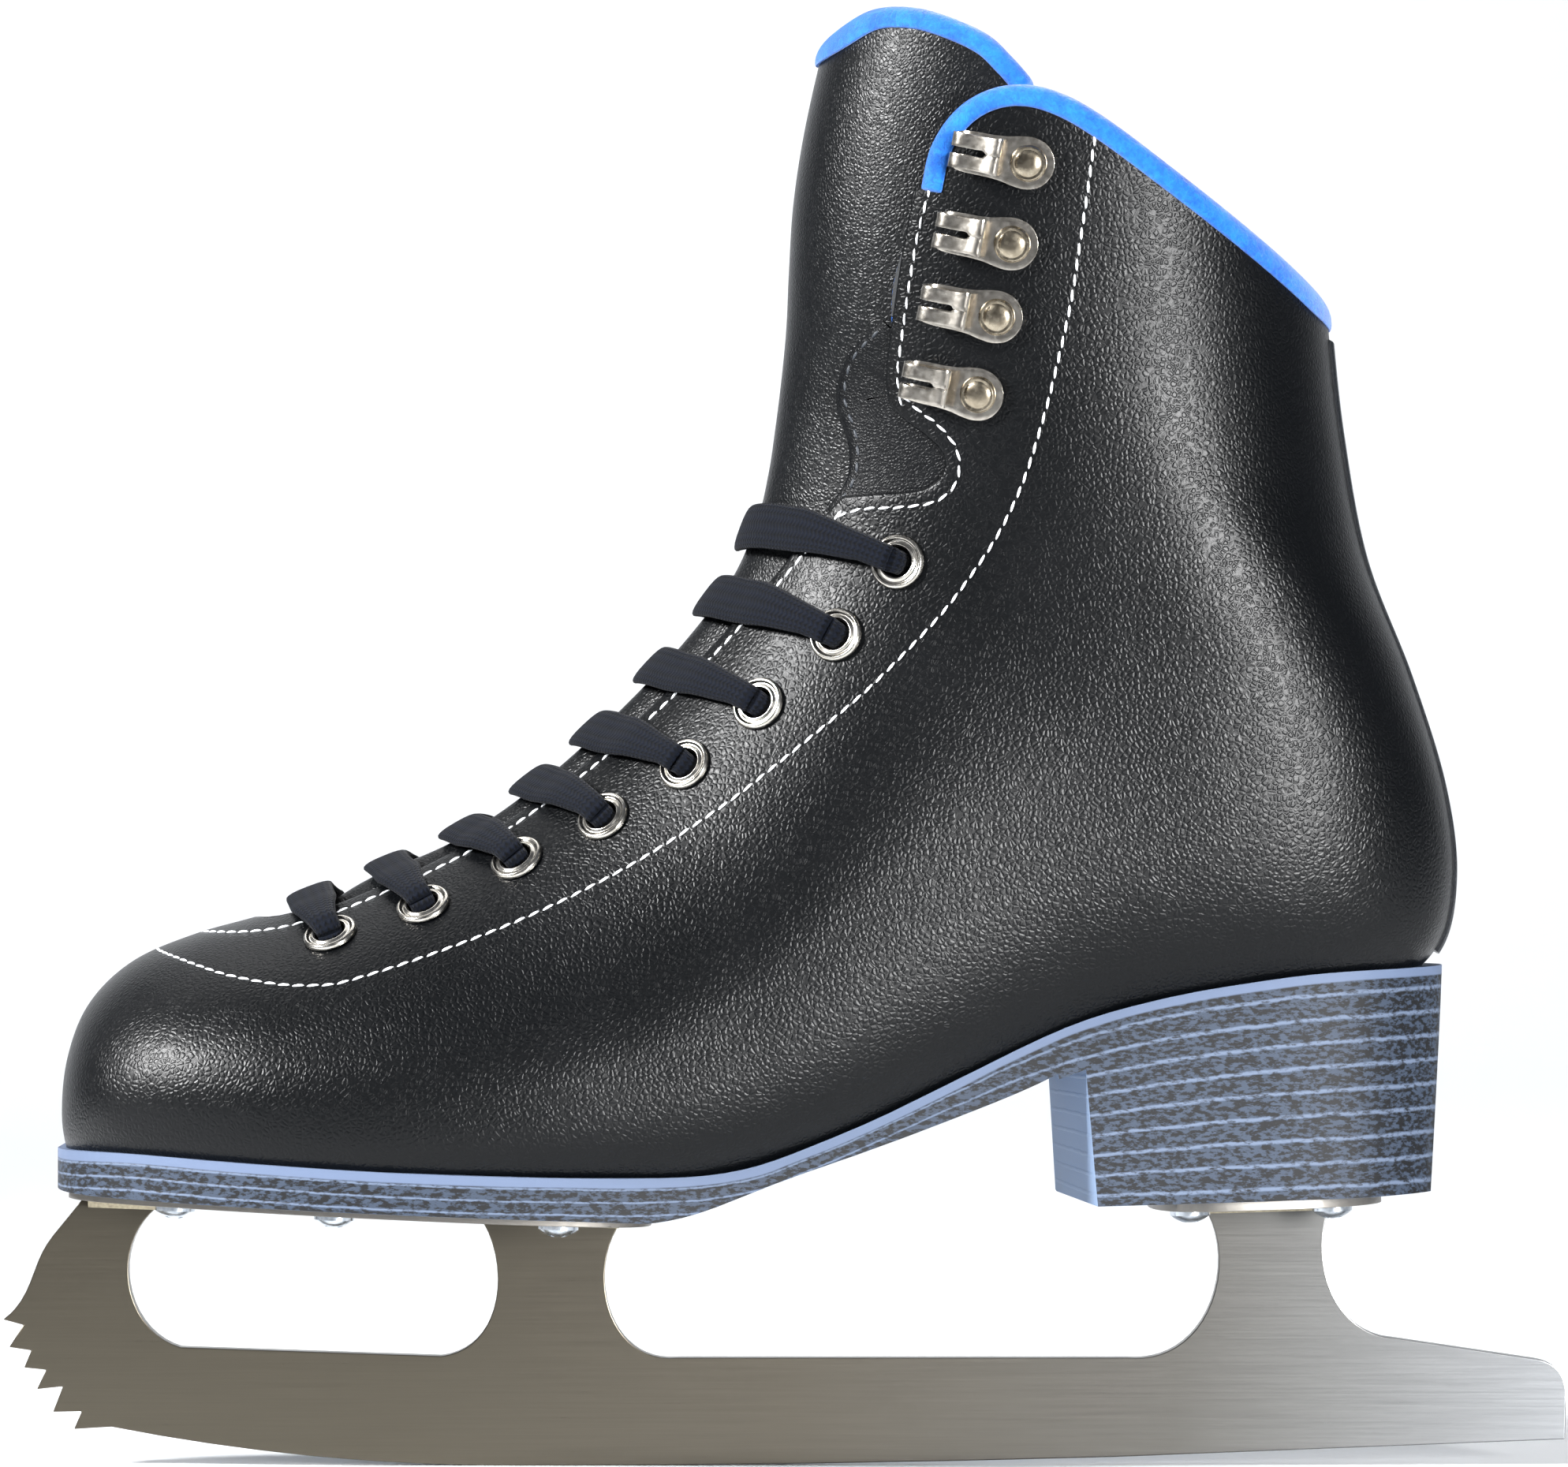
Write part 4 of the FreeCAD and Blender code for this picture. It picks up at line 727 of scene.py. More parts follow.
# Station, angle of the side edge, angle over which it sinks, and its depth in the middle and at the sides.
TONGUE = np.array([
    (6.1, 0.60, 0.25, 4.6, 8.0), (6.9, 0.61, 0.25, 0.9, 8.0), (8.0, 0.62, 0.24, 0.8, 8.0),
    (10.0, 0.66, 0.28, 0.8, 8.0), (12.0, 0.86, 0.36, 0.7, 8.0), (14.0, 1.10, 0.46, 0.4, 7.2),
    (16.0, 1.02, 0.54, 0.1, 6.8), (18.0, 1.04, 0.66, 0.1, 7.4), (20.0, 1.12, 0.78, 0.1, 9.0),
    (22.0, 1.32, 0.88, 0.1, 12.0)])
TONGUE_TOP = [(-14.0, 248.6), (-3.0, 253.0), (7.6, 257.7), (14.9, 261.4), (21.7, 261.6), (28.0, 259.9),
              (35.4, 256.4), (39.6, 252.5), (43.7, 247.6), (52.0, 236.0)]
TONGUE_THICKNESS = 6.0
TONGUE_LENGTHWISE, TONGUE_ACROSS = 150, 44


def tongue_at(s, u, depth):
    """Points of the tongue: station s, -1 to 1 across it, and depth below its outer face."""
    table = []
    for k in range(1, 5):
        fine = smooth_line(TONGUE[:, [0, k]], 400)
        table.append(np.interp(s, fine[:, 0], fine[:, 1]))
    edge, settle, middle, sides = table
    a = edge * np.abs(u)
    sunk = middle + (sides - middle) * (1 - np.exp(-(a / settle) ** 2))
    left, right = on_last(s, a, OUTER, sunk + depth), on_last(s, a, INNER, sunk + depth)
    return np.where((u < 0)[..., None], left, right)


def tongue_end(u, depth, drop):
    """The station at which the tongue meets its top edge, less drop."""
    top = side_shift(smooth_line(TONGUE_TOP, 200), drop)
    low, high = np.full(u.shape, 17.5), np.full(u.shape, 22.4)
    for _ in range(30):
        middle = (low + high) / 2
        p = tongue_at(middle, u, depth)
        under = p[..., 2] < np.interp(p[..., 0], top[:, 0], top[:, 1])
        low, high = np.where(under, middle, low), np.where(under, high, middle)
    return low


def tongue_skin(name, first, last, rim, lengthwise=TONGUE_LENGTHWISE, top_drop=0.0):
    """One layer of the tongue between two depths, with a rounded side edge."""
    u = np.linspace(-1, 1, TONGUE_ACROSS + 1)
    half = (last - first) / 2
    rounded = [(math.cos(t) * half, math.sin(t) * half) for t in np.linspace(math.pi / 2, -math.pi / 2, rim)]
    across_u = np.concatenate([u, [1 + r / 26.0 for r, _ in rounded[1:-1]], u[::-1],
                               [-1 - r / 26.0 for r, _ in rounded[::-1][1:-1]]])
    across_depth = np.concatenate([np.full(len(u), first), [first + half - h for _, h in rounded[1:-1]],
                                   np.full(len(u), last), [first + half - h for _, h in rounded[::-1][1:-1]]])
    end = tongue_end(np.clip(across_u, -1, 1), across_depth, top_drop)
    rows = np.linspace(0, 1, lengthwise)
    s = TONGUE[0, 0] + (end - TONGUE[0, 0])[:, None] * rows
    grid = tongue_at(s, np.repeat(across_u[:, None], lengthwise, 1), np.repeat(across_depth[:, None], lengthwise, 1))
    count = len(across_u)
    faces = quads(lengthwise, count, closed=True)
    points = grid.reshape(-1, 3)
    n = len(u)
    for row in (0, lengthwise - 1):
        over = [i * lengthwise + row for i in range(n)]
        under = [(n + rim - 2 + n - 1 - i) * lengthwise + row for i in range(n)]
        faces += [(over[i], over[i + 1], under[i + 1], under[i]) for i in range(n - 1)]
        right = [(n - 1 + k) * lengthwise + row for k in range(rim)]
        faces.append(tuple(right))
        left = [(2 * n + rim - 3 + k) * lengthwise + row for k in range(rim)]
        left = [i % (count * lengthwise) for i in left]
        faces.append(tuple(left))
    piece = mesh_piece(name, points, faces)
    close_seams(piece)
    return piece


tongue_cover = tongue_skin("tongue_cover", 0.0, 1.2, 5, top_drop=2.4)
tongue_pad = tongue_skin("tongue_pad", 1.25, 4.9, 7, top_drop=2.6)
tongue_lining = tongue_skin("tongue_lining", 4.95, 6.0, 5, top_drop=2.4)
for piece in (tongue_cover, tongue_pad, tongue_lining):
    smooth(piece, 50)

# Soft garment-weight leather, glossier than the upper, with a finer grain.
tongue_leather, tongue_surface = new_material("soft_tongue_leather", Roughness=0.34)
tongue_surface.inputs["Specular IOR Level"].default_value = 0.25
pebbles(tongue_leather, tongue_surface, 0.75, 0.045, ("#040506", "#090b0e"), (0.30, 0.38))
tongue_cover.data.materials.append(tongue_leather)
foam, foam_surface = new_material("open_cell_foam", Roughness=0.95)
foam_surface.inputs["Base Color"].default_value = linear("#24272c")
coords = add(foam, "ShaderNodeTexCoord").outputs["Object"]
cells = add(foam, "ShaderNodeTexVoronoi", {"Scale": 1600.0}, {"Vector": coords})
bump = add(foam, "ShaderNodeBump", {"Strength": 0.8, "Distance": 0.0002}, {"Height": cells.outputs["Distance"]})
link(foam, bump.outputs["Normal"], foam_surface.inputs["Normal"])
tongue_pad.data.materials.append(foam)
tongue_lining.data.materials.append(felt)

TONGUE_BINDING = [(4.0, 0.10), (4.0, -0.50), (3.3, -0.88), (2.2, -1.0), (1.1, -0.72), (0.3, 0.2), (0.0, 1.5),
                  (0.0, 3.6), (0.2, 5.0), (0.8, 6.1), (1.8, 6.7), (3.0, 6.8), (4.0, 6.5), (4.1, 6.0)]
u = np.linspace(-1, 1, 121)
rings = []
for drop, depth in TONGUE_BINDING:
    level = np.full(len(u), depth)
    rings.append(tongue_at(tongue_end(u, level, drop), u * 1.015, level))
grid = np.stack(rings, axis=1)
count = len(TONGUE_BINDING)
faces = quads(count, len(grid))
faces += [(i * count + count - 1, i * count, (i + 1) * count, (i + 1) * count + count - 1)
          for i in range(len(grid) - 1)]
faces += [tuple(range(count)), tuple(range(len(grid) * count - 1, (len(grid) - 1) * count - 1, -1))]
tongue_binding = mesh_piece("tongue_binding_felt", grid.reshape(-1, 3), faces)
close_seams(tongue_binding)
apply_modifier(tongue_binding, "SUBSURF", levels=1, render_levels=1)
smooth(tongue_binding, 180)
tongue_binding.data.materials.append(felt)
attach(tongue_binding, "tongue")
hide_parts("tongue_binding")

for piece, slot, covered in ((tongue_cover, "black_leather", ("tongue_leather_lower", "tongue_leather_upper")),
                             (tongue_pad, "tongue_foam", ("tongue_foam_lower", "tongue_foam_upper")),
                             (tongue_lining, "blue_felt", ("tongue_lining_lower", "tongue_lining_upper"))):
    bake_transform(piece)
    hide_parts(*covered)


# ---- Backstay -----------------------------------------------------------------------------------------
# A narrow strip of glossier leather sewn over the back seam, from the sole up to the collar binding.

STRIP_HALF, STRIP_PROUD = 7.2, 1.0
strip_rows = 150
back_line = smooth_line([(121.2, 93.0), (121.0, 107.0), (118.8, 123.5), (112.8, 143.0), (104.8, 164.0),
                         (100.6, 186.0), (98.5, 203.4)], strip_rows)
back_s = np.array([GUESS_S[np.argmin((on_last(GUESS_S, np.full_like(GUESS_S, math.pi), OUTER)[:, 2] - z) ** 2)]
                   for z in back_line[:, 1]])
back_s = np.convolve(np.pad(back_s, 6, mode="reflect", reflect_type="odd"), np.ones(13) / 13, mode="valid")
STRIP_PROFILE = [(1.0, -0.05), (1.0, 0.55), (0.93, 0.9), (0.6, 1.0), (0.25, 1.06), (0.0, 1.06)]
columns = []
for side in (OUTER, INNER):
    widths = section(back_s)[:, 4]
    for share, proud in (STRIP_PROFILE if side == OUTER else STRIP_PROFILE[::-1][1:]):
        reach = STRIP_HALF * share / widths
        power = section(back_s)[:, 7]
        a = math.pi - np.arcsin(np.clip(reach, 0, 1) ** (power / 2))
        columns.append(on_last(back_s, a, side, -STRIP_PROUD * proud))
grid = np.stack(columns, axis=1)
count = grid.shape[1]
faces = quads(count, len(grid))
faces += [(i * count + count - 1, i * count, (i + 1) * count, (i + 1) * count + count - 1)
          for i in range(len(grid) - 1)]
faces += [tuple(range(count)), tuple(range(len(grid) * count - 1, (len(grid) - 1) * count - 1, -1))]
backstay = mesh_piece("backstay_strip", grid.reshape(-1, 3), faces)
close_seams(backstay)
smooth(backstay, 50)
strip_leather, strip_surface = new_material("strip_leather", Roughness=0.28, Coat_Weight=0.2, Coat_Roughness=0.2)
pebbles(strip_leather, strip_surface, 0.7, 0.03, ("#0a0c10", "#15181d"), (0.24, 0.34))
backstay.data.materials.append(strip_leather)
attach(backstay, "boot")
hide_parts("backstay")


# ---- Eyelets and washers ------------------------------------------------------------------------------
# Nickel-plated brass eyelets, turned over outside into a flange with a raised rim and lip, and clinched on a
# thin washer inside the facing. Eight go up each side.

EYELET_PROFILE = [(2.70, -4.9), (2.70, 0.30), (2.80, 0.72), (3.02, 0.94), (3.26, 0.92), (3.46, 0.70),
                  (3.72, 0.58), (3.98, 0.70), (4.20, 0.93), (4.46, 0.97), (4.72, 0.80), (4.90, 0.48),
                  (4.92, 0.12), (4.70, 0.02), (3.10, 0.02), (3.05, -4.9)]
WASHER_PROFILE = [(3.07, -4.50), (4.4, -4.50), (4.7, -4.60), (4.7, -4.80), (4.4, -4.90), (3.07, -4.90)]
ROUND_STEPS = 40


def turned(name, profile, steps=ROUND_STEPS, closed=True):
    """A turned or drawn ring: a profile of (radius, height) in mm, spun round the Z axis."""
    edges = [(i, i + 1) for i in range(len(profile) - 1)] + ([(len(profile) - 1, 0)] if closed else [])
    mesh = bpy.data.meshes.new(name)
    mesh.from_pydata([(r * MM, 0, h * MM) for r, h in profile], edges, [])
    ring = bpy.data.objects.new(name, mesh)
    bpy.context.scene.collection.objects.link(ring)
    edit(ring, lambda: bpy.ops.mesh.spin(steps=steps, angle=2 * math.pi, center=(0, 0, 0), axis=(0, 0, 1)))
    close_seams(ring, 0.005)
    return ring


def set_round_the_throat(name, model, seats):
    """Copies of one fitting, each with its own mesh, set at its seats on the boot and joined as one piece."""
    copies = []
    for place in seats:
        copy = model.copy()
        copy.data = model.data.copy()
        bpy.context.scene.collection.objects.link(copy)
        copy.matrix_world = in_metres(place)
        copies.append(copy)
    bpy.data.objects.remove(model)
    return join(name, copies)


eyelet_seats = [seat(s, a, side, lift=0.05) for side in (OUTER, INNER) for s, a in zip(eye_s, eye_a)]
eyelets = set_round_the_throat("eyelet_rings", turned("eyelet", EYELET_PROFILE), eyelet_seats)
washers = set_round_the_throat("eyelet_backing_washers", turned("washer", WASHER_PROFILE), eyelet_seats)

# Bright nickel plate over brass: a faintly warm mirror, softened by handling.
nickel, nickel_surface = new_material("bright_nickel_plate", Metallic=1.0, Roughness=0.17)


def plated(material, surface, tones, roughness, scale=900.0, bump_mm=0.012):
    """Plating or ground steel: small drifts of tone and polish, and a faint ripple."""
    coords = add(material, "ShaderNodeTexCoord").outputs["Object"]
    cloud = add(material, "ShaderNodeTexNoise", {"Scale": scale, "Detail": 4.0}, {"Vector": coords})
    ramp = add(material, "ShaderNodeValToRGB", links={"Fac": cloud.outputs["Fac"]})
    ramp.color_ramp.elements[0].position, ramp.color_ramp.elements[1].position = 0.3, 0.7
    ramp.color_ramp.elements[0].color, ramp.color_ramp.elements[1].color = linear(tones[0]), linear(tones[1])
    link(material, ramp.outputs["Color"], surface.inputs["Base Color"])
    polish = add(material, "ShaderNodeMapRange", {"To Min": roughness[0], "To Max": roughness[1]},
                 {"Value": cloud.outputs["Fac"]})
    link(material, polish.outputs["Result"], surface.inputs["Roughness"])
    bump = add(material, "ShaderNodeBump", {"Strength": 0.4, "Distance": bump_mm * MM},
               {"Height": cloud.outputs["Fac"]})
    link(material, bump.outputs["Normal"], surface.inputs["Normal"])


plated(nickel, nickel_surface, ("#b9b4aa", "#dcd8d0"), (0.12, 0.24))
for piece, slot, covered in ((eyelets, "eyelet_nickel", ("eyelets_outer", "eyelets_inner")),
                             (washers, "eyelet_nickel", ("eyelet_washers_outer", "eyelet_washers_inner"))):
    smooth(piece, 50)
    piece.data.materials.append(nickel)
    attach(piece, "boot")
    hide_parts(*covered)


# ---- Lace hooks and rivets ----------------------------------------------------------------------------
# Four speed hooks on each flap, pressed from plated steel strip: a round tab under the rivet, a neck, and a
# nose split into two fingers that curl up and fold back over the lace.

HOOK_RIVETS = [(34.4, 191.9), (37.6, 205.4), (40.2, 218.1), (43.0, 232.2)]
HOOK_TURN = 11.0
HOOK_SHEET = 0.8
HOOK_TAB = 4.6
# The strip's centre line (x, height), its half width there, and half the gap between the fingers.
HOOK_STRIP = [(-4.58, 0.0, 0.35, 0.0), (-4.4, 0.0, 1.35, 0.0), (-3.6, 0.0, 2.86, 0.0), (-2.2, 0.0, 4.04, 0.0),
              (0.0, 0.0, 4.6, 0.0), (2.2, 0.0, 4.4, 0.0), (4.4, 0.0, 3.95, 0.0), (6.6, 0.0, 3.75, 0.02),
              (7.3, 0.0, 3.72, 0.55), (9.0, 0.0, 3.7, 0.62), (11.0, 0.05, 3.65, 0.62), (12.3, 0.45, 3.5, 0.62),
              (13.1, 1.25, 3.3, 0.62), (13.4, 2.2, 3.2, 0.62), (13.1, 3.15, 3.1, 0.62), (12.2, 3.85, 3.1, 0.62),
              (10.8, 4.1, 3.1, 0.62), (9.3, 4.0, 3.1, 0.62), (7.9, 3.75, 3.1, 0.62), (7.3, 3.6, 3.12, 0.05),
              (6.2, 3.3, 3.2, 0.02), (5.4, 3.25, 3.3, 0.0), (4.9, 3.55, 3.3, 0.0)]
RIVET_PROFILE = [(0.0, 2.15), (0.9, 2.12), (1.7, 1.98), (2.2, 1.78), (2.42, 1.62), (2.6, 1.66), (2.85, 1.68),
                 (3.1, 1.5), (3.25, 1.18), (3.28, 0.85), (2.6, 0.78), (1.4, 0.78), (1.4, -4.8), (0.0, -4.8)]

path = smooth_line(HOOK_STRIP, 72)
half_strips, faces = [], []
LANES = 6
for side in (1, -1):
    start = len(half_strips)
    for x, h, half, gap in path:
        for lane in range(LANES):
            y = max(gap, 0.0) + (max(half, 0.05) - max(gap, 0.0)) * lane / (LANES - 1)
            half_strips.append((x, side * y, h))
    faces += quads(LANES, len(path), start)
hook = mesh_piece("lace_hook", half_strips, faces)
close_seams(hook, 0.012)
apply_modifier(hook, "SOLIDIFY", thickness=HOOK_SHEET * MM, offset=0.0)
apply_modifier(hook, "BEVEL", width=0.16 * MM, segments=2, limit_method="ANGLE", angle_limit=math.radians(50))
hook.data.transform(Matrix.Translation((0, 0, (0.25 + HOOK_SHEET / 2) * MM)))

rivet_s, rivet_a = find_on_last(HOOK_RIVETS)
hook_seats = [seat(s, a, side, HOOK_TURN, 0.1) for side in (OUTER, INNER) for s, a in zip(rivet_s, rivet_a)]
hooks = set_round_the_throat("speed_hooks", hook, hook_seats)
rivets = set_round_the_throat("hook_rivet_heads", turned("rivet", RIVET_PROFILE, 32, closed=False), hook_seats)

# The rivets are antique-nickel plated: darker and browner than the hooks.
hook_plate, hook_surface = new_material("satin_nickel_plate", Metallic=1.0, Roughness=0.24)
plated(hook_plate, hook_surface, ("#aaa398", "#d6d0c6"), (0.17, 0.32))
rivet_plate, rivet_surface = new_material("antique_nickel_plate", Metallic=1.0, Roughness=0.26)
plated(rivet_plate, rivet_surface, ("#8a7f6d", "#b3a996"), (0.18, 0.34))
for piece, finish, slot, covered in ((hooks, hook_plate, "hook_nickel", ("lace_hooks_outer", "lace_hooks_inner")),
                                     (rivets, rivet_plate, "rivet_nickel",
                                      ("hook_rivets_outer", "hook_rivets_inner"))):
    smooth(piece, 40)
    piece.data.materials.append(finish)
    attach(piece, "boot")
    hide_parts(*covered)


# ---- Laces --------------------------------------------------------------------------------------------
# One flat, tubular woven lace in navy black: a bar across the tongue at each row, going down through the
# eyelets. Inside, strands climb from row to row, and both ends are tucked up behind the outer flap.

LACE_CROWNS = [6.40, 7.20, 8.00, 8.82, 9.62, 10.58, 11.62, 12.72]
LACE_WIDTH, LACE_THICKNESS = 8.4, 1.9
LACE_BUNCHED = (4.5, 2.6)       # the same lace squeezed into an eyelet
LACE_ROUND = 20
LACE_STEPS = 110
bars_points, bars_faces, bars_uv = [], [], []
random = np.random.default_rng(12)
for row, crown in enumerate(LACE_CROWNS):
    centre, wide, squeezed = [], [], []
    for side in (OUTER, INNER):
        place = np.array(seat(eye_s[row], eye_a[row], side))
        out, base = place[:3, 2], place[:3, 3]
        u = np.linspace(0.90, 0.0, 26)
        s = crown + (eye_s[row] - crown) * u ** 1.6
        a = eye_a[row] * u
        rise = 1.15 + 1.25 * np.clip((u - 0.45) / 0.3, 0, 1) ** 2 * (3 - 2 * np.clip((u - 0.45) / 0.3, 0, 1))
        over = on_last(s, np.maximum(a, 1e-3), side, -rise)
        inward = over[2] - base
        inward -= out * inward.dot(out)
        inward /= np.linalg.norm(inward)
        hole = np.array([base - out * 4.9, base - out * 3.0, base - out * 1.2, base + out * 0.5 + inward * 0.25,
                         base + out * 1.75 + inward * 1.5])
        line = np.vstack([hole, over])
        along = on_last(s + 0.05, np.maximum(a, 1e-3), side, -rise) - on_last(s - 0.05, np.maximum(a, 1e-3),
                                                                             side, -rise)
        along = np.vstack([np.repeat(along[:1], len(hole), 0), along])
        near = np.concatenate([np.ones(len(hole) - 1), [0.9], np.clip((u - 0.62) / 0.28, 0, 1) * 0.82])
        if side == INNER:
            line, along, near = line[::-1][1:], along[::-1][1:], near[::-1][1:]
        centre.append(line)
        wide.append(along)
        squeezed.append(near[:, None])
    data = np.hstack([np.vstack(centre), np.vstack(wide), np.vstack(squeezed)])
    data = smooth_line(data, LACE_STEPS)
    line, along, near = data[:, :3], data[:, 3:6], np.clip(data[:, 6], 0, 1)
    tangent = np.gradient(line, axis=0)
    tangent /= np.linalg.norm(tangent, axis=1)[:, None]
    along -= tangent * (along * tangent).sum(1)[:, None]
    along /= np.linalg.norm(along, axis=1)[:, None]
    up = np.cross(along, tangent)
    up *= np.sign((up * np.array([-0.5, 0, 0.8])).sum(1))[:, None].clip(-1, 1)
    up = np.where(((up[LACE_STEPS // 2] * up).sum(1) < -0.999)[:, None], -up, up)
    drift = np.interp(np.linspace(0, 1, LACE_STEPS), np.linspace(0, 1, 9), random.normal(0, 0.035, 9))
    width = (LACE_WIDTH + (LACE_BUNCHED[0] - LACE_WIDTH) * near) * (1 + drift)
    thick = LACE_THICKNESS + (LACE_BUNCHED[1] - LACE_THICKNESS) * near
    turn = np.linspace(0, 2 * math.pi, LACE_ROUND, endpoint=False)
    run = np.concatenate([[0], np.cumsum(np.linalg.norm(np.diff(line, axis=0), axis=1))])
    start = len(bars_points)
    for i in range(LACE_STEPS):
        across = np.sign(np.cos(turn)) * np.abs(np.cos(turn)) ** 0.75 * width[i] / 2
        through = np.sign(np.sin(turn)) * np.abs(np.sin(turn)) ** 0.75 * thick[i] / 2
        bars_points += list(line[i] + np.outer(across, along[i]) + np.outer(through, up[i]))
        bars_uv += [(run[i], t * 2.8) for t in turn]
    bars_faces += [(start + i * LACE_ROUND + j, start + i * LACE_ROUND + (j + 1) % LACE_ROUND,
                    start + (i + 1) * LACE_ROUND + (j + 1) % LACE_ROUND, start + (i + 1) * LACE_ROUND + j)
                   for i in range(LACE_STEPS - 1) for j in range(LACE_ROUND)]
    bars_faces += [tuple(start + j for j in range(LACE_ROUND)),
                   tuple(start + (LACE_STEPS - 1) * LACE_ROUND + j for j in range(LACE_ROUND))[::-1]]
lace = mesh_piece("lace_over_tongue", bars_points, bars_faces)
weave_map = lace.data.uv_layers.new(name="weave")
for face in lace.data.polygons:
    at = [bars_uv[lace.data.loops[k].vertex_index] for k in face.loop_indices]
    wraps = max(p[1] for p in at) - min(p[1] for p in at) > 8.0
    for k, (along_mm, round_mm) in zip(face.loop_indices, at):
        weave_map.data[k].uv = (along_mm, round_mm + (2 * math.pi * 2.8 if wraps and round_mm < 8.0 else 0.0))
edit(lace, lambda: bpy.ops.mesh.normals_make_consistent(inside=False))
smooth(lace, 180)

# Polyester yarn woven as a flat tube: lengthwise ribs about 1 mm apart, each a chain of slanting floats.
RIB, FLOAT = 1.05, 0.95         # mm from rib to rib, and from float to float along a rib


def woven(material, surface, vector, tones, depth_mm=0.22):
    """A woven lace: vector gives mm along the lace in X and mm across it in Y."""
    parts = add(material, "ShaderNodeSeparateXYZ", links={"Vector": vector})
    rib = add(material, "ShaderNodeMath", {"operation": "MULTIPLY", 1: 1 / RIB}, {0: parts.outputs["Y"]})
    slope = add(material, "ShaderNodeMath", {"operation": "PINGPONG", 1: 0.5}, {0: rib.outputs["Value"]})
    slant = add(material, "ShaderNodeMath", {"operation": "MULTIPLY_ADD", 1: 1 / FLOAT},
                {0: parts.outputs["X"], 2: slope.outputs["Value"]})
    lap = add(material, "ShaderNodeMath", {"operation": "PINGPONG", 1: 0.5}, {0: slant.outputs["Value"]})
    height = add(material, "ShaderNodeMath", {"operation": "ADD"},
                 {0: slope.outputs["Value"], 1: lap.outputs["Value"]})
    fuzz = add(material, "ShaderNodeTexNoise", {"Scale": 4.0, "Detail": 5.0}, {"Vector": vector})
    rough = add(material, "ShaderNodeMath", {"operation": "MULTIPLY_ADD", 1: 0.45},
                {0: fuzz.outputs["Fac"], 2: height.outputs["Value"]})
    # The colour follows the weave's relief: darker in the grooves between ribs and floats, a painted shade, and
    # lighter on their crests; the fuzz adds a random change of tone.
    ramp = add(material, "ShaderNodeValToRGB", links={"Fac": rough.outputs["Value"]})
    ramp.color_ramp.elements[0].position, ramp.color_ramp.elements[1].position = 0.35, 1.15
    ramp.color_ramp.elements[0].color, ramp.color_ramp.elements[1].color = linear(tones[0]), linear(tones[1])
    link(material, ramp.outputs["Color"], surface.inputs["Base Color"])
    bump = add(material, "ShaderNodeBump", {"Strength": 1.0, "Distance": depth_mm * MM},
               {"Height": rough.outputs["Value"]})
    link(material, bump.outputs["Normal"], surface.inputs["Normal"])


LACE_TONES = ("#010204", "#080d18")
lace_weave, weave_surface = new_material("woven_polyester", Roughness=0.9, Sheen_Weight=0.04,
                                         Sheen_Roughness=0.5)
weave_surface.inputs["Specular IOR Level"].default_value = 0.12
woven(lace_weave, weave_surface, add(lace_weave, "ShaderNodeUVMap", {"uv_map": "weave"}).outputs["UV"], LACE_TONES)
lace.data.materials.append(lace_weave)
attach(lace, "boot")
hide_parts("lace_bars", "lace_tucks")

# The climbing strands and tails lie flat inside, so their weave is laid out from the side.
inner_weave, inner_surface = new_material("woven_polyester_inside", Roughness=0.88)
from_side = add(inner_weave, "ShaderNodeMapping", {"Rotation": (math.pi / 2, 0, 0), "Scale": (1000,) * 3},
                {"Vector": add(inner_weave, "ShaderNodeTexCoord").outputs["Object"]})
woven(inner_weave, inner_surface, from_side.outputs["Vector"], LACE_TONES)


def finish_node(name, material):
    """Gives a node of the frame its finish."""
    slots = nodes[name].material_slots
    if not slots:
        nodes[name].data.materials.append(material)
    for slot in slots:
        slot.link = "OBJECT"
        slot.material = material


for name in ("lace_climbs_outer", "lace_climbs_inner", "lace_tails"):
    finish_node(name, inner_weave)
finish_node("aglets", nickel)


# ---- Sole ---------------------------------------------------------------------------------------------
# One injection moulding in light grey-blue, whose sides are printed to look like a stack of leather lifts:
# dark flecks between thin light lines, with a plain raised rim at the top and a plain breast and underside.

LIFTS = 9.4                     # lifts in the height of the heel
FOREPART_LIFT = 2.25            # mm
RIM_HEIGHT = 1.7
SOLE_BEVEL = 0.45


def finished_copy(node, name, bevel, sharp=35, segments=2):
    """A node's own shape, merged, with its sharp edges broken by a small bevel."""
    copy = nodes[node].copy()
    copy.data = nodes[node].data.copy()
    copy.name = copy.data.name = name
    bpy.context.scene.collection.objects.link(copy)
    copy.hide_render = copy.hide_viewport = False
    copy.data.materials.clear()
    edit(copy, lambda: bpy.ops.mesh.remove_doubles(threshold=0.004 * MM),
         lambda: bpy.ops.mesh.dissolve_limited(angle_limit=math.radians(1.0)),
         lambda: bpy.ops.mesh.normals_make_consistent(inside=False))
    apply_modifier(copy, "BEVEL", width=bevel * MM, segments=segments, limit_method="ANGLE",
                   angle_limit=math.radians(sharp), loop_slide=False)
    smooth(copy, 30)
    apply_modifier(copy, "WEIGHTED_NORMAL", keep_sharp=True)
    return copy


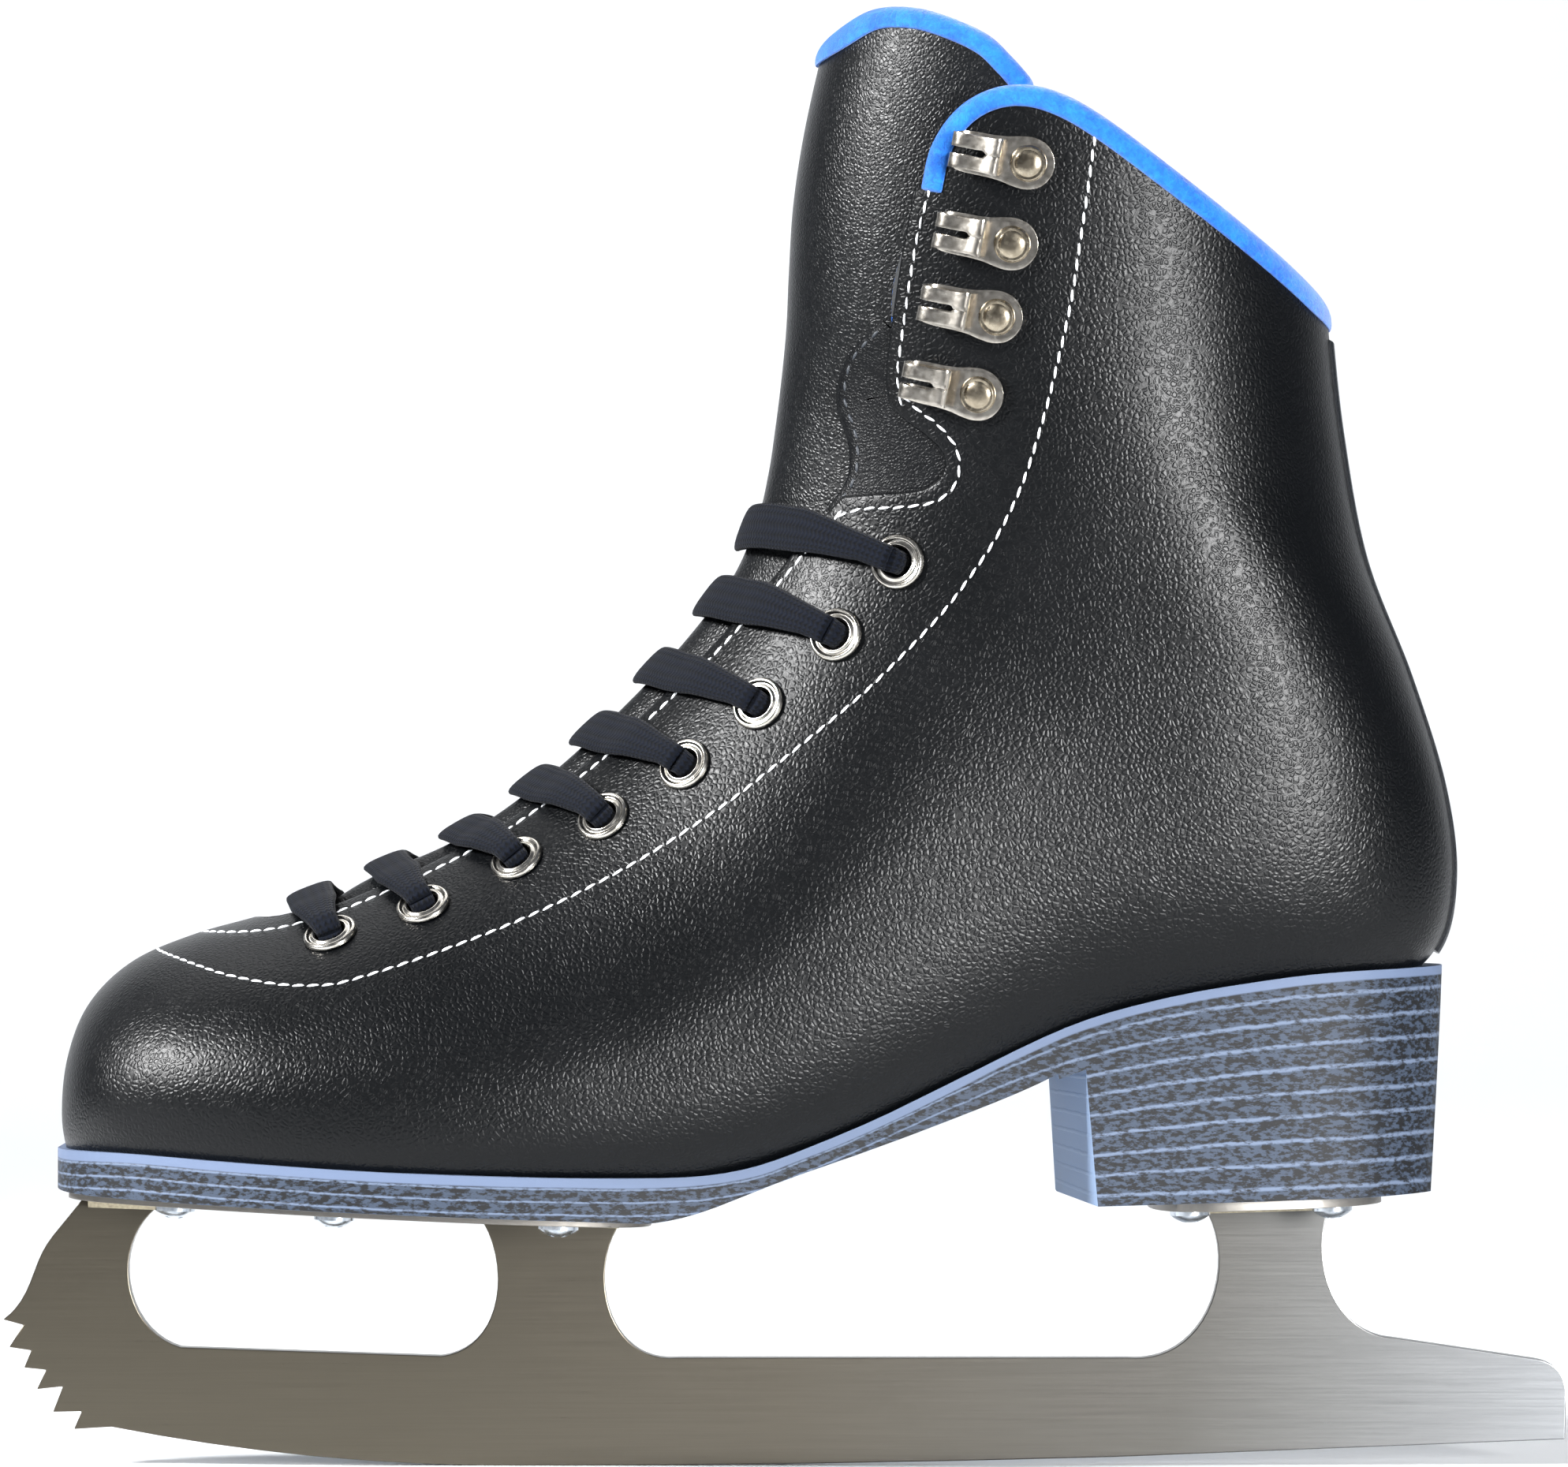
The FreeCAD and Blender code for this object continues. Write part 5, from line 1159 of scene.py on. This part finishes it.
sole = finished_copy("unit_sole", "moulded_sole", SOLE_BEVEL)
moulding, moulding_surface = new_material("printed_moulding", Roughness=0.62)
moulding_surface.inputs["Specular IOR Level"].default_value = 0.3
FEATHER_X, FEATHER_Z = (-140.0, 125.0), (45.0, 95.0)
coords = add(moulding, "ShaderNodeTexCoord").outputs["Object"]
place = add(moulding, "ShaderNodeSeparateXYZ", links={"Vector": coords})
across_x = add(moulding, "ShaderNodeMapRange", {"From Min": FEATHER_X[0] * MM, "From Max": FEATHER_X[1] * MM},
               {"Value": place.outputs["X"]})
rim_curve = add(moulding, "ShaderNodeFloatCurve", links={"Value": across_x.outputs["Result"]})
curve = rim_curve.mapping.curves[0]
stations = [((x - FEATHER_X[0]) / (FEATHER_X[1] - FEATHER_X[0]), (z - FEATHER_Z[0]) / (FEATHER_Z[1] - FEATHER_Z[0]))
            for x, z in FEATHER]
curve.points[0].location, curve.points[1].location = (0.0, stations[0][1]), (1.0, stations[-1][1])
for x, z in stations:
    curve.points.new(x, z)
rim_curve.mapping.update()
rim_height = add(moulding, "ShaderNodeMapRange", {"To Min": FEATHER_Z[0] * MM, "To Max": FEATHER_Z[1] * MM},
                 {"Value": rim_curve.outputs["Value"]})
below_rim = add(moulding, "ShaderNodeMath", {"operation": "SUBTRACT"},
                {0: rim_height.outputs["Result"], 1: place.outputs["Z"]})
heel_height = add(moulding, "ShaderNodeMath", {"operation": "MULTIPLY_ADD", 1: -0.0286, 2: -0.04674},
                  {0: place.outputs["X"]})
heel_depth = add(moulding, "ShaderNodeMath", {"operation": "ADD"},
                 {0: rim_height.outputs["Result"], 1: heel_height.outputs["Value"]})
heel_lift = add(moulding, "ShaderNodeMath", {"operation": "DIVIDE", 1: LIFTS}, {0: heel_depth.outputs["Value"]})
to_heel = add(moulding, "ShaderNodeMapRange", {"From Min": -0.005, "From Max": 0.058,
                                               "interpolation_type": "SMOOTHSTEP"}, {"Value": place.outputs["X"]})
lift = add(moulding, "ShaderNodeMix", {2: FOREPART_LIFT * MM},
           {0: to_heel.outputs["Result"], 3: heel_lift.outputs["Value"]})
count_down = add(moulding, "ShaderNodeMath", {"operation": "DIVIDE"},
                 {0: below_rim.outputs["Value"], 1: lift.outputs["Result"]})
waver = add(moulding, "ShaderNodeTexNoise", {"Scale": 160.0, "Detail": 4.0, "Roughness": 0.7}, {"Vector": coords})
wavering = add(moulding, "ShaderNodeMath", {"operation": "MULTIPLY_ADD", 1: 0.22},
               {0: waver.outputs["Fac"], 2: count_down.outputs["Value"]})
band_place = add(moulding, "ShaderNodeMath", {"operation": "PINGPONG", 1: 0.5}, {0: wavering.outputs["Value"]})
line = add(moulding, "ShaderNodeMapRange", {"From Min": 0.04, "From Max": 0.12, "To Min": 1.0, "To Max": 0.0},
           {"Value": band_place.outputs["Value"]})
# Flecks about 0.55 mm high and twice as long, as a printed leather edge has.
stretch = add(moulding, "ShaderNodeMapping", {"Scale": (620.0, 620.0, 1500.0)}, {"Vector": coords})
flecks = add(moulding, "ShaderNodeTexNoise", {"Scale": 1.0, "Detail": 3.0, "Roughness": 0.65},
             {"Vector": stretch.outputs["Vector"]})
dark = add(moulding, "ShaderNodeMapRange", {"From Min": 0.46, "From Max": 0.56}, {"Value": flecks.outputs["Fac"]})
fleck_colour = add(moulding, "ShaderNodeMix", {"data_type": "RGBA", 6: linear("#07090d"), 7: linear("#2d3746")},
                   {0: dark.outputs["Result"]})
worn = add(moulding, "ShaderNodeMapRange", {"From Min": 0.30, "From Max": 0.52}, {"Value": flecks.outputs["Fac"]})
line_share = add(moulding, "ShaderNodeMath", {"operation": "MULTIPLY"},
                 {0: line.outputs["Result"], 1: worn.outputs["Result"]})
printed = add(moulding, "ShaderNodeMix", {"data_type": "RGBA", 7: linear("#556175")},
              {0: line_share.outputs["Value"], 6: fleck_colour.outputs[2]})
under_rim = add(moulding, "ShaderNodeMapRange", {"From Min": (RIM_HEIGHT - 0.15) * MM,
                                                 "From Max": (RIM_HEIGHT + 0.15) * MM},
                {"Value": below_rim.outputs["Value"]})
rimmed = add(moulding, "ShaderNodeMix", {"data_type": "RGBA", 6: linear("#55627a")},
             {0: under_rim.outputs["Result"], 7: printed.outputs[2]})
facing = add(moulding, "ShaderNodeSeparateXYZ",
             links={"Vector": add(moulding, "ShaderNodeTexCoord").outputs["Normal"]})
forward = add(moulding, "ShaderNodeMapRange", {"From Min": -0.90, "From Max": -0.80, "To Min": 1.0, "To Max": 0.0},
              {"Value": facing.outputs["X"]})
past_toe = add(moulding, "ShaderNodeMath", {"operation": "GREATER_THAN", 1: 0.0}, {0: place.outputs["X"]})
breast = add(moulding, "ShaderNodeMath", {"operation": "MULTIPLY"},
             {0: forward.outputs["Result"], 1: past_toe.outputs["Value"]})
downward = add(moulding, "ShaderNodeMapRange", {"From Min": -0.75, "From Max": -0.65, "To Min": 1.0,
                                                "To Max": 0.0}, {"Value": facing.outputs["Z"]})
plain = add(moulding, "ShaderNodeMath", {"operation": "MAXIMUM"},
            {0: breast.outputs["Value"], 1: downward.outputs["Result"]})
sole_colour = add(moulding, "ShaderNodeMix", {"data_type": "RGBA", 7: linear("#7084a0")},
                  {0: plain.outputs["Value"], 6: rimmed.outputs[2]})
link(moulding, sole_colour.outputs[2], moulding_surface.inputs["Base Color"])
relief = add(moulding, "ShaderNodeMath", {"operation": "MULTIPLY_ADD", 1: 0.35},
             {0: flecks.outputs["Fac"], 2: line.outputs["Result"]})
bump = add(moulding, "ShaderNodeBump", {"Strength": 0.5, "Distance": 0.00012}, {"Height": relief.outputs["Value"]})
link(moulding, bump.outputs["Normal"], moulding_surface.inputs["Normal"])
sole.data.materials.append(moulding)
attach(sole, "boot")
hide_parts("unit_sole")


# ---- Blade, plates and screws -------------------------------------------------------------------------
# The runner is a 4 mm steel sheet, ground lengthwise; its plates are pressed steel, brazed to the stanchions
# and held to the sole by pan-head screws.

def ground(material, surface, tones, roughness, along=(40.0, 2600.0, 2600.0)):
    """Steel ground along X: fine lines, and a slow change of tone from toe to tail, lighter towards the tail as a
    painted reflection.
    """
    coords = add(material, "ShaderNodeTexCoord").outputs["Object"]
    lines = add(material, "ShaderNodeMapping", {"Scale": along}, {"Vector": coords})
    grit = add(material, "ShaderNodeTexNoise", {"Scale": 1.0, "Detail": 5.0, "Roughness": 0.7},
               {"Vector": lines.outputs["Vector"]})
    place = add(material, "ShaderNodeSeparateXYZ", links={"Vector": coords})
    length = add(material, "ShaderNodeMapRange", {"From Min": -0.141, "From Max": 0.141},
                 {"Value": place.outputs["X"]})
    # Painted reflection: the tones, given from toe to tail, run lighter towards the tail.
    ramp = add(material, "ShaderNodeValToRGB", links={"Fac": length.outputs["Result"]})
    ramp.color_ramp.elements[0].color, ramp.color_ramp.elements[1].color = linear(tones[0]), linear(tones[-1])
    for step, tone in enumerate(tones[1:-1], 1):
        ramp.color_ramp.elements.new(step / (len(tones) - 1)).color = linear(tone)
    shade = add(material, "ShaderNodeMapRange", {"To Min": 0.86, "To Max": 1.08}, {"Value": grit.outputs["Fac"]})
    colour = add(material, "ShaderNodeVectorMath", {"operation": "SCALE"},
                 {0: ramp.outputs["Color"], "Scale": shade.outputs["Result"]})
    link(material, colour.outputs["Vector"], surface.inputs["Base Color"])
    polish = add(material, "ShaderNodeMapRange", {"To Min": roughness[0], "To Max": roughness[1]},
                 {"Value": grit.outputs["Fac"]})
    link(material, polish.outputs["Result"], surface.inputs["Roughness"])
    bump = add(material, "ShaderNodeBump", {"Strength": 0.35, "Distance": 0.00002}, {"Height": grit.outputs["Fac"]})
    link(material, bump.outputs["Normal"], surface.inputs["Normal"])


runner_steel, runner_surface = new_material("ground_carbon_steel", Metallic=1.0, Roughness=0.38)
# The tones lighten towards the tail as a painted reflection; the plates' tones below do the same.
ground(runner_steel, runner_surface, ("#5a554b", "#5a554b", "#5f5a51", "#5f5d59", "#7b7d7f"), (0.24, 0.36))
plate_steel, plate_surface = new_material("satin_pressed_steel", Metallic=1.0, Roughness=0.4)
ground(plate_steel, plate_surface, ("#6f6b65", "#86837e"), (0.35, 0.5), (900.0, 900.0, 900.0))
screw_plate, screw_surface = new_material("zinc_plated_steel", Metallic=1.0, Roughness=0.2)
plated(screw_plate, screw_surface, ("#aab3bd", "#d9dee4"), (0.15, 0.3))
braze, braze_surface = new_material("nickel_silver_braze", Metallic=1.0, Roughness=0.35)
plated(braze, braze_surface, ("#8c8371", "#b0a78f"), (0.3, 0.45), 1400.0, 0.05)

blade_parts = (("blade_runner", "ground_runner", runner_steel, "blade_steel", 0.22),
               ("toe_mounting_plate", "toe_plate_pressing", plate_steel, "plate_steel", 0.3),
               ("heel_mounting_plate", "heel_plate_pressing", plate_steel, "plate_steel", 0.3))
for node, name, finish, slot, bevel in blade_parts:
    piece = finished_copy(node, name, bevel, 50)
    piece.data.materials.append(finish)
    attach(piece, "boot")
    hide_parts(node)
finish_node("toe_plate_screws", screw_plate)
finish_node("heel_plate_screws", screw_plate)
finish_node("stanchion_brazing", braze)


# ---- Inside the boot ----------------------------------------------------------------------------------
# Felt lines the quarters and canvas the vamp. Between them and the leather lie the toe puff, the heel counter,
# the facing reinforcement and the ankle foam, and the footbed lies on a fibreboard insole with a steel shank.

def speckled(name, tones, grain_mm, roughness, depth_mm=0.05):
    """A plain board or cloth with a grain of its own, read from the side and from above alike."""
    material, surface = new_material(name, Roughness=roughness)
    coords = add(material, "ShaderNodeTexCoord").outputs["Object"]
    grain = add(material, "ShaderNodeTexVoronoi", {"Scale": 1000 / grain_mm}, {"Vector": coords})
    cloud = add(material, "ShaderNodeTexNoise", {"Scale": 300.0, "Detail": 5.0}, {"Vector": coords})
    both = add(material, "ShaderNodeMath", {"operation": "MULTIPLY_ADD", 1: 0.6},
               {0: grain.outputs["Distance"], 2: cloud.outputs["Fac"]})
    ramp = add(material, "ShaderNodeValToRGB", links={"Fac": both.outputs["Value"]})
    ramp.color_ramp.elements[0].position, ramp.color_ramp.elements[1].position = 0.4, 0.95
    ramp.color_ramp.elements[0].color, ramp.color_ramp.elements[1].color = linear(tones[0]), linear(tones[1])
    link(material, ramp.outputs["Color"], surface.inputs["Base Color"])
    bump = add(material, "ShaderNodeBump", {"Strength": 0.7, "Distance": depth_mm * MM},
               {"Height": both.outputs["Value"]})
    link(material, bump.outputs["Normal"], surface.inputs["Normal"])
    return material


finish_node("quarter_lining", felt)
finish_node("vamp_lining", speckled("cotton_canvas", ("#25426b", "#3c6299"), 0.7, 0.9))
finish_node("footbed", speckled("brushed_polyester_on_foam", ("#1f2328", "#383e46"), 0.6, 0.95))
finish_node("insole_board", speckled("cellulose_fibreboard", ("#9c8361", "#c1a883"), 0.5, 0.85))
finish_node("toe_puff", speckled("thermoplastic_puff", ("#8e9296", "#b3b7ba"), 0.5, 0.6))
finish_node("heel_counter", speckled("leatherboard_counter", ("#77583c", "#9a7a58"), 0.5, 0.8))
finish_node("facing_reinforcement", speckled("black_leatherboard", ("#0c0e11", "#1a1d21"), 0.6, 0.6))
finish_node("ankle_foam", foam)
finish_node("waist_shank", plate_steel)
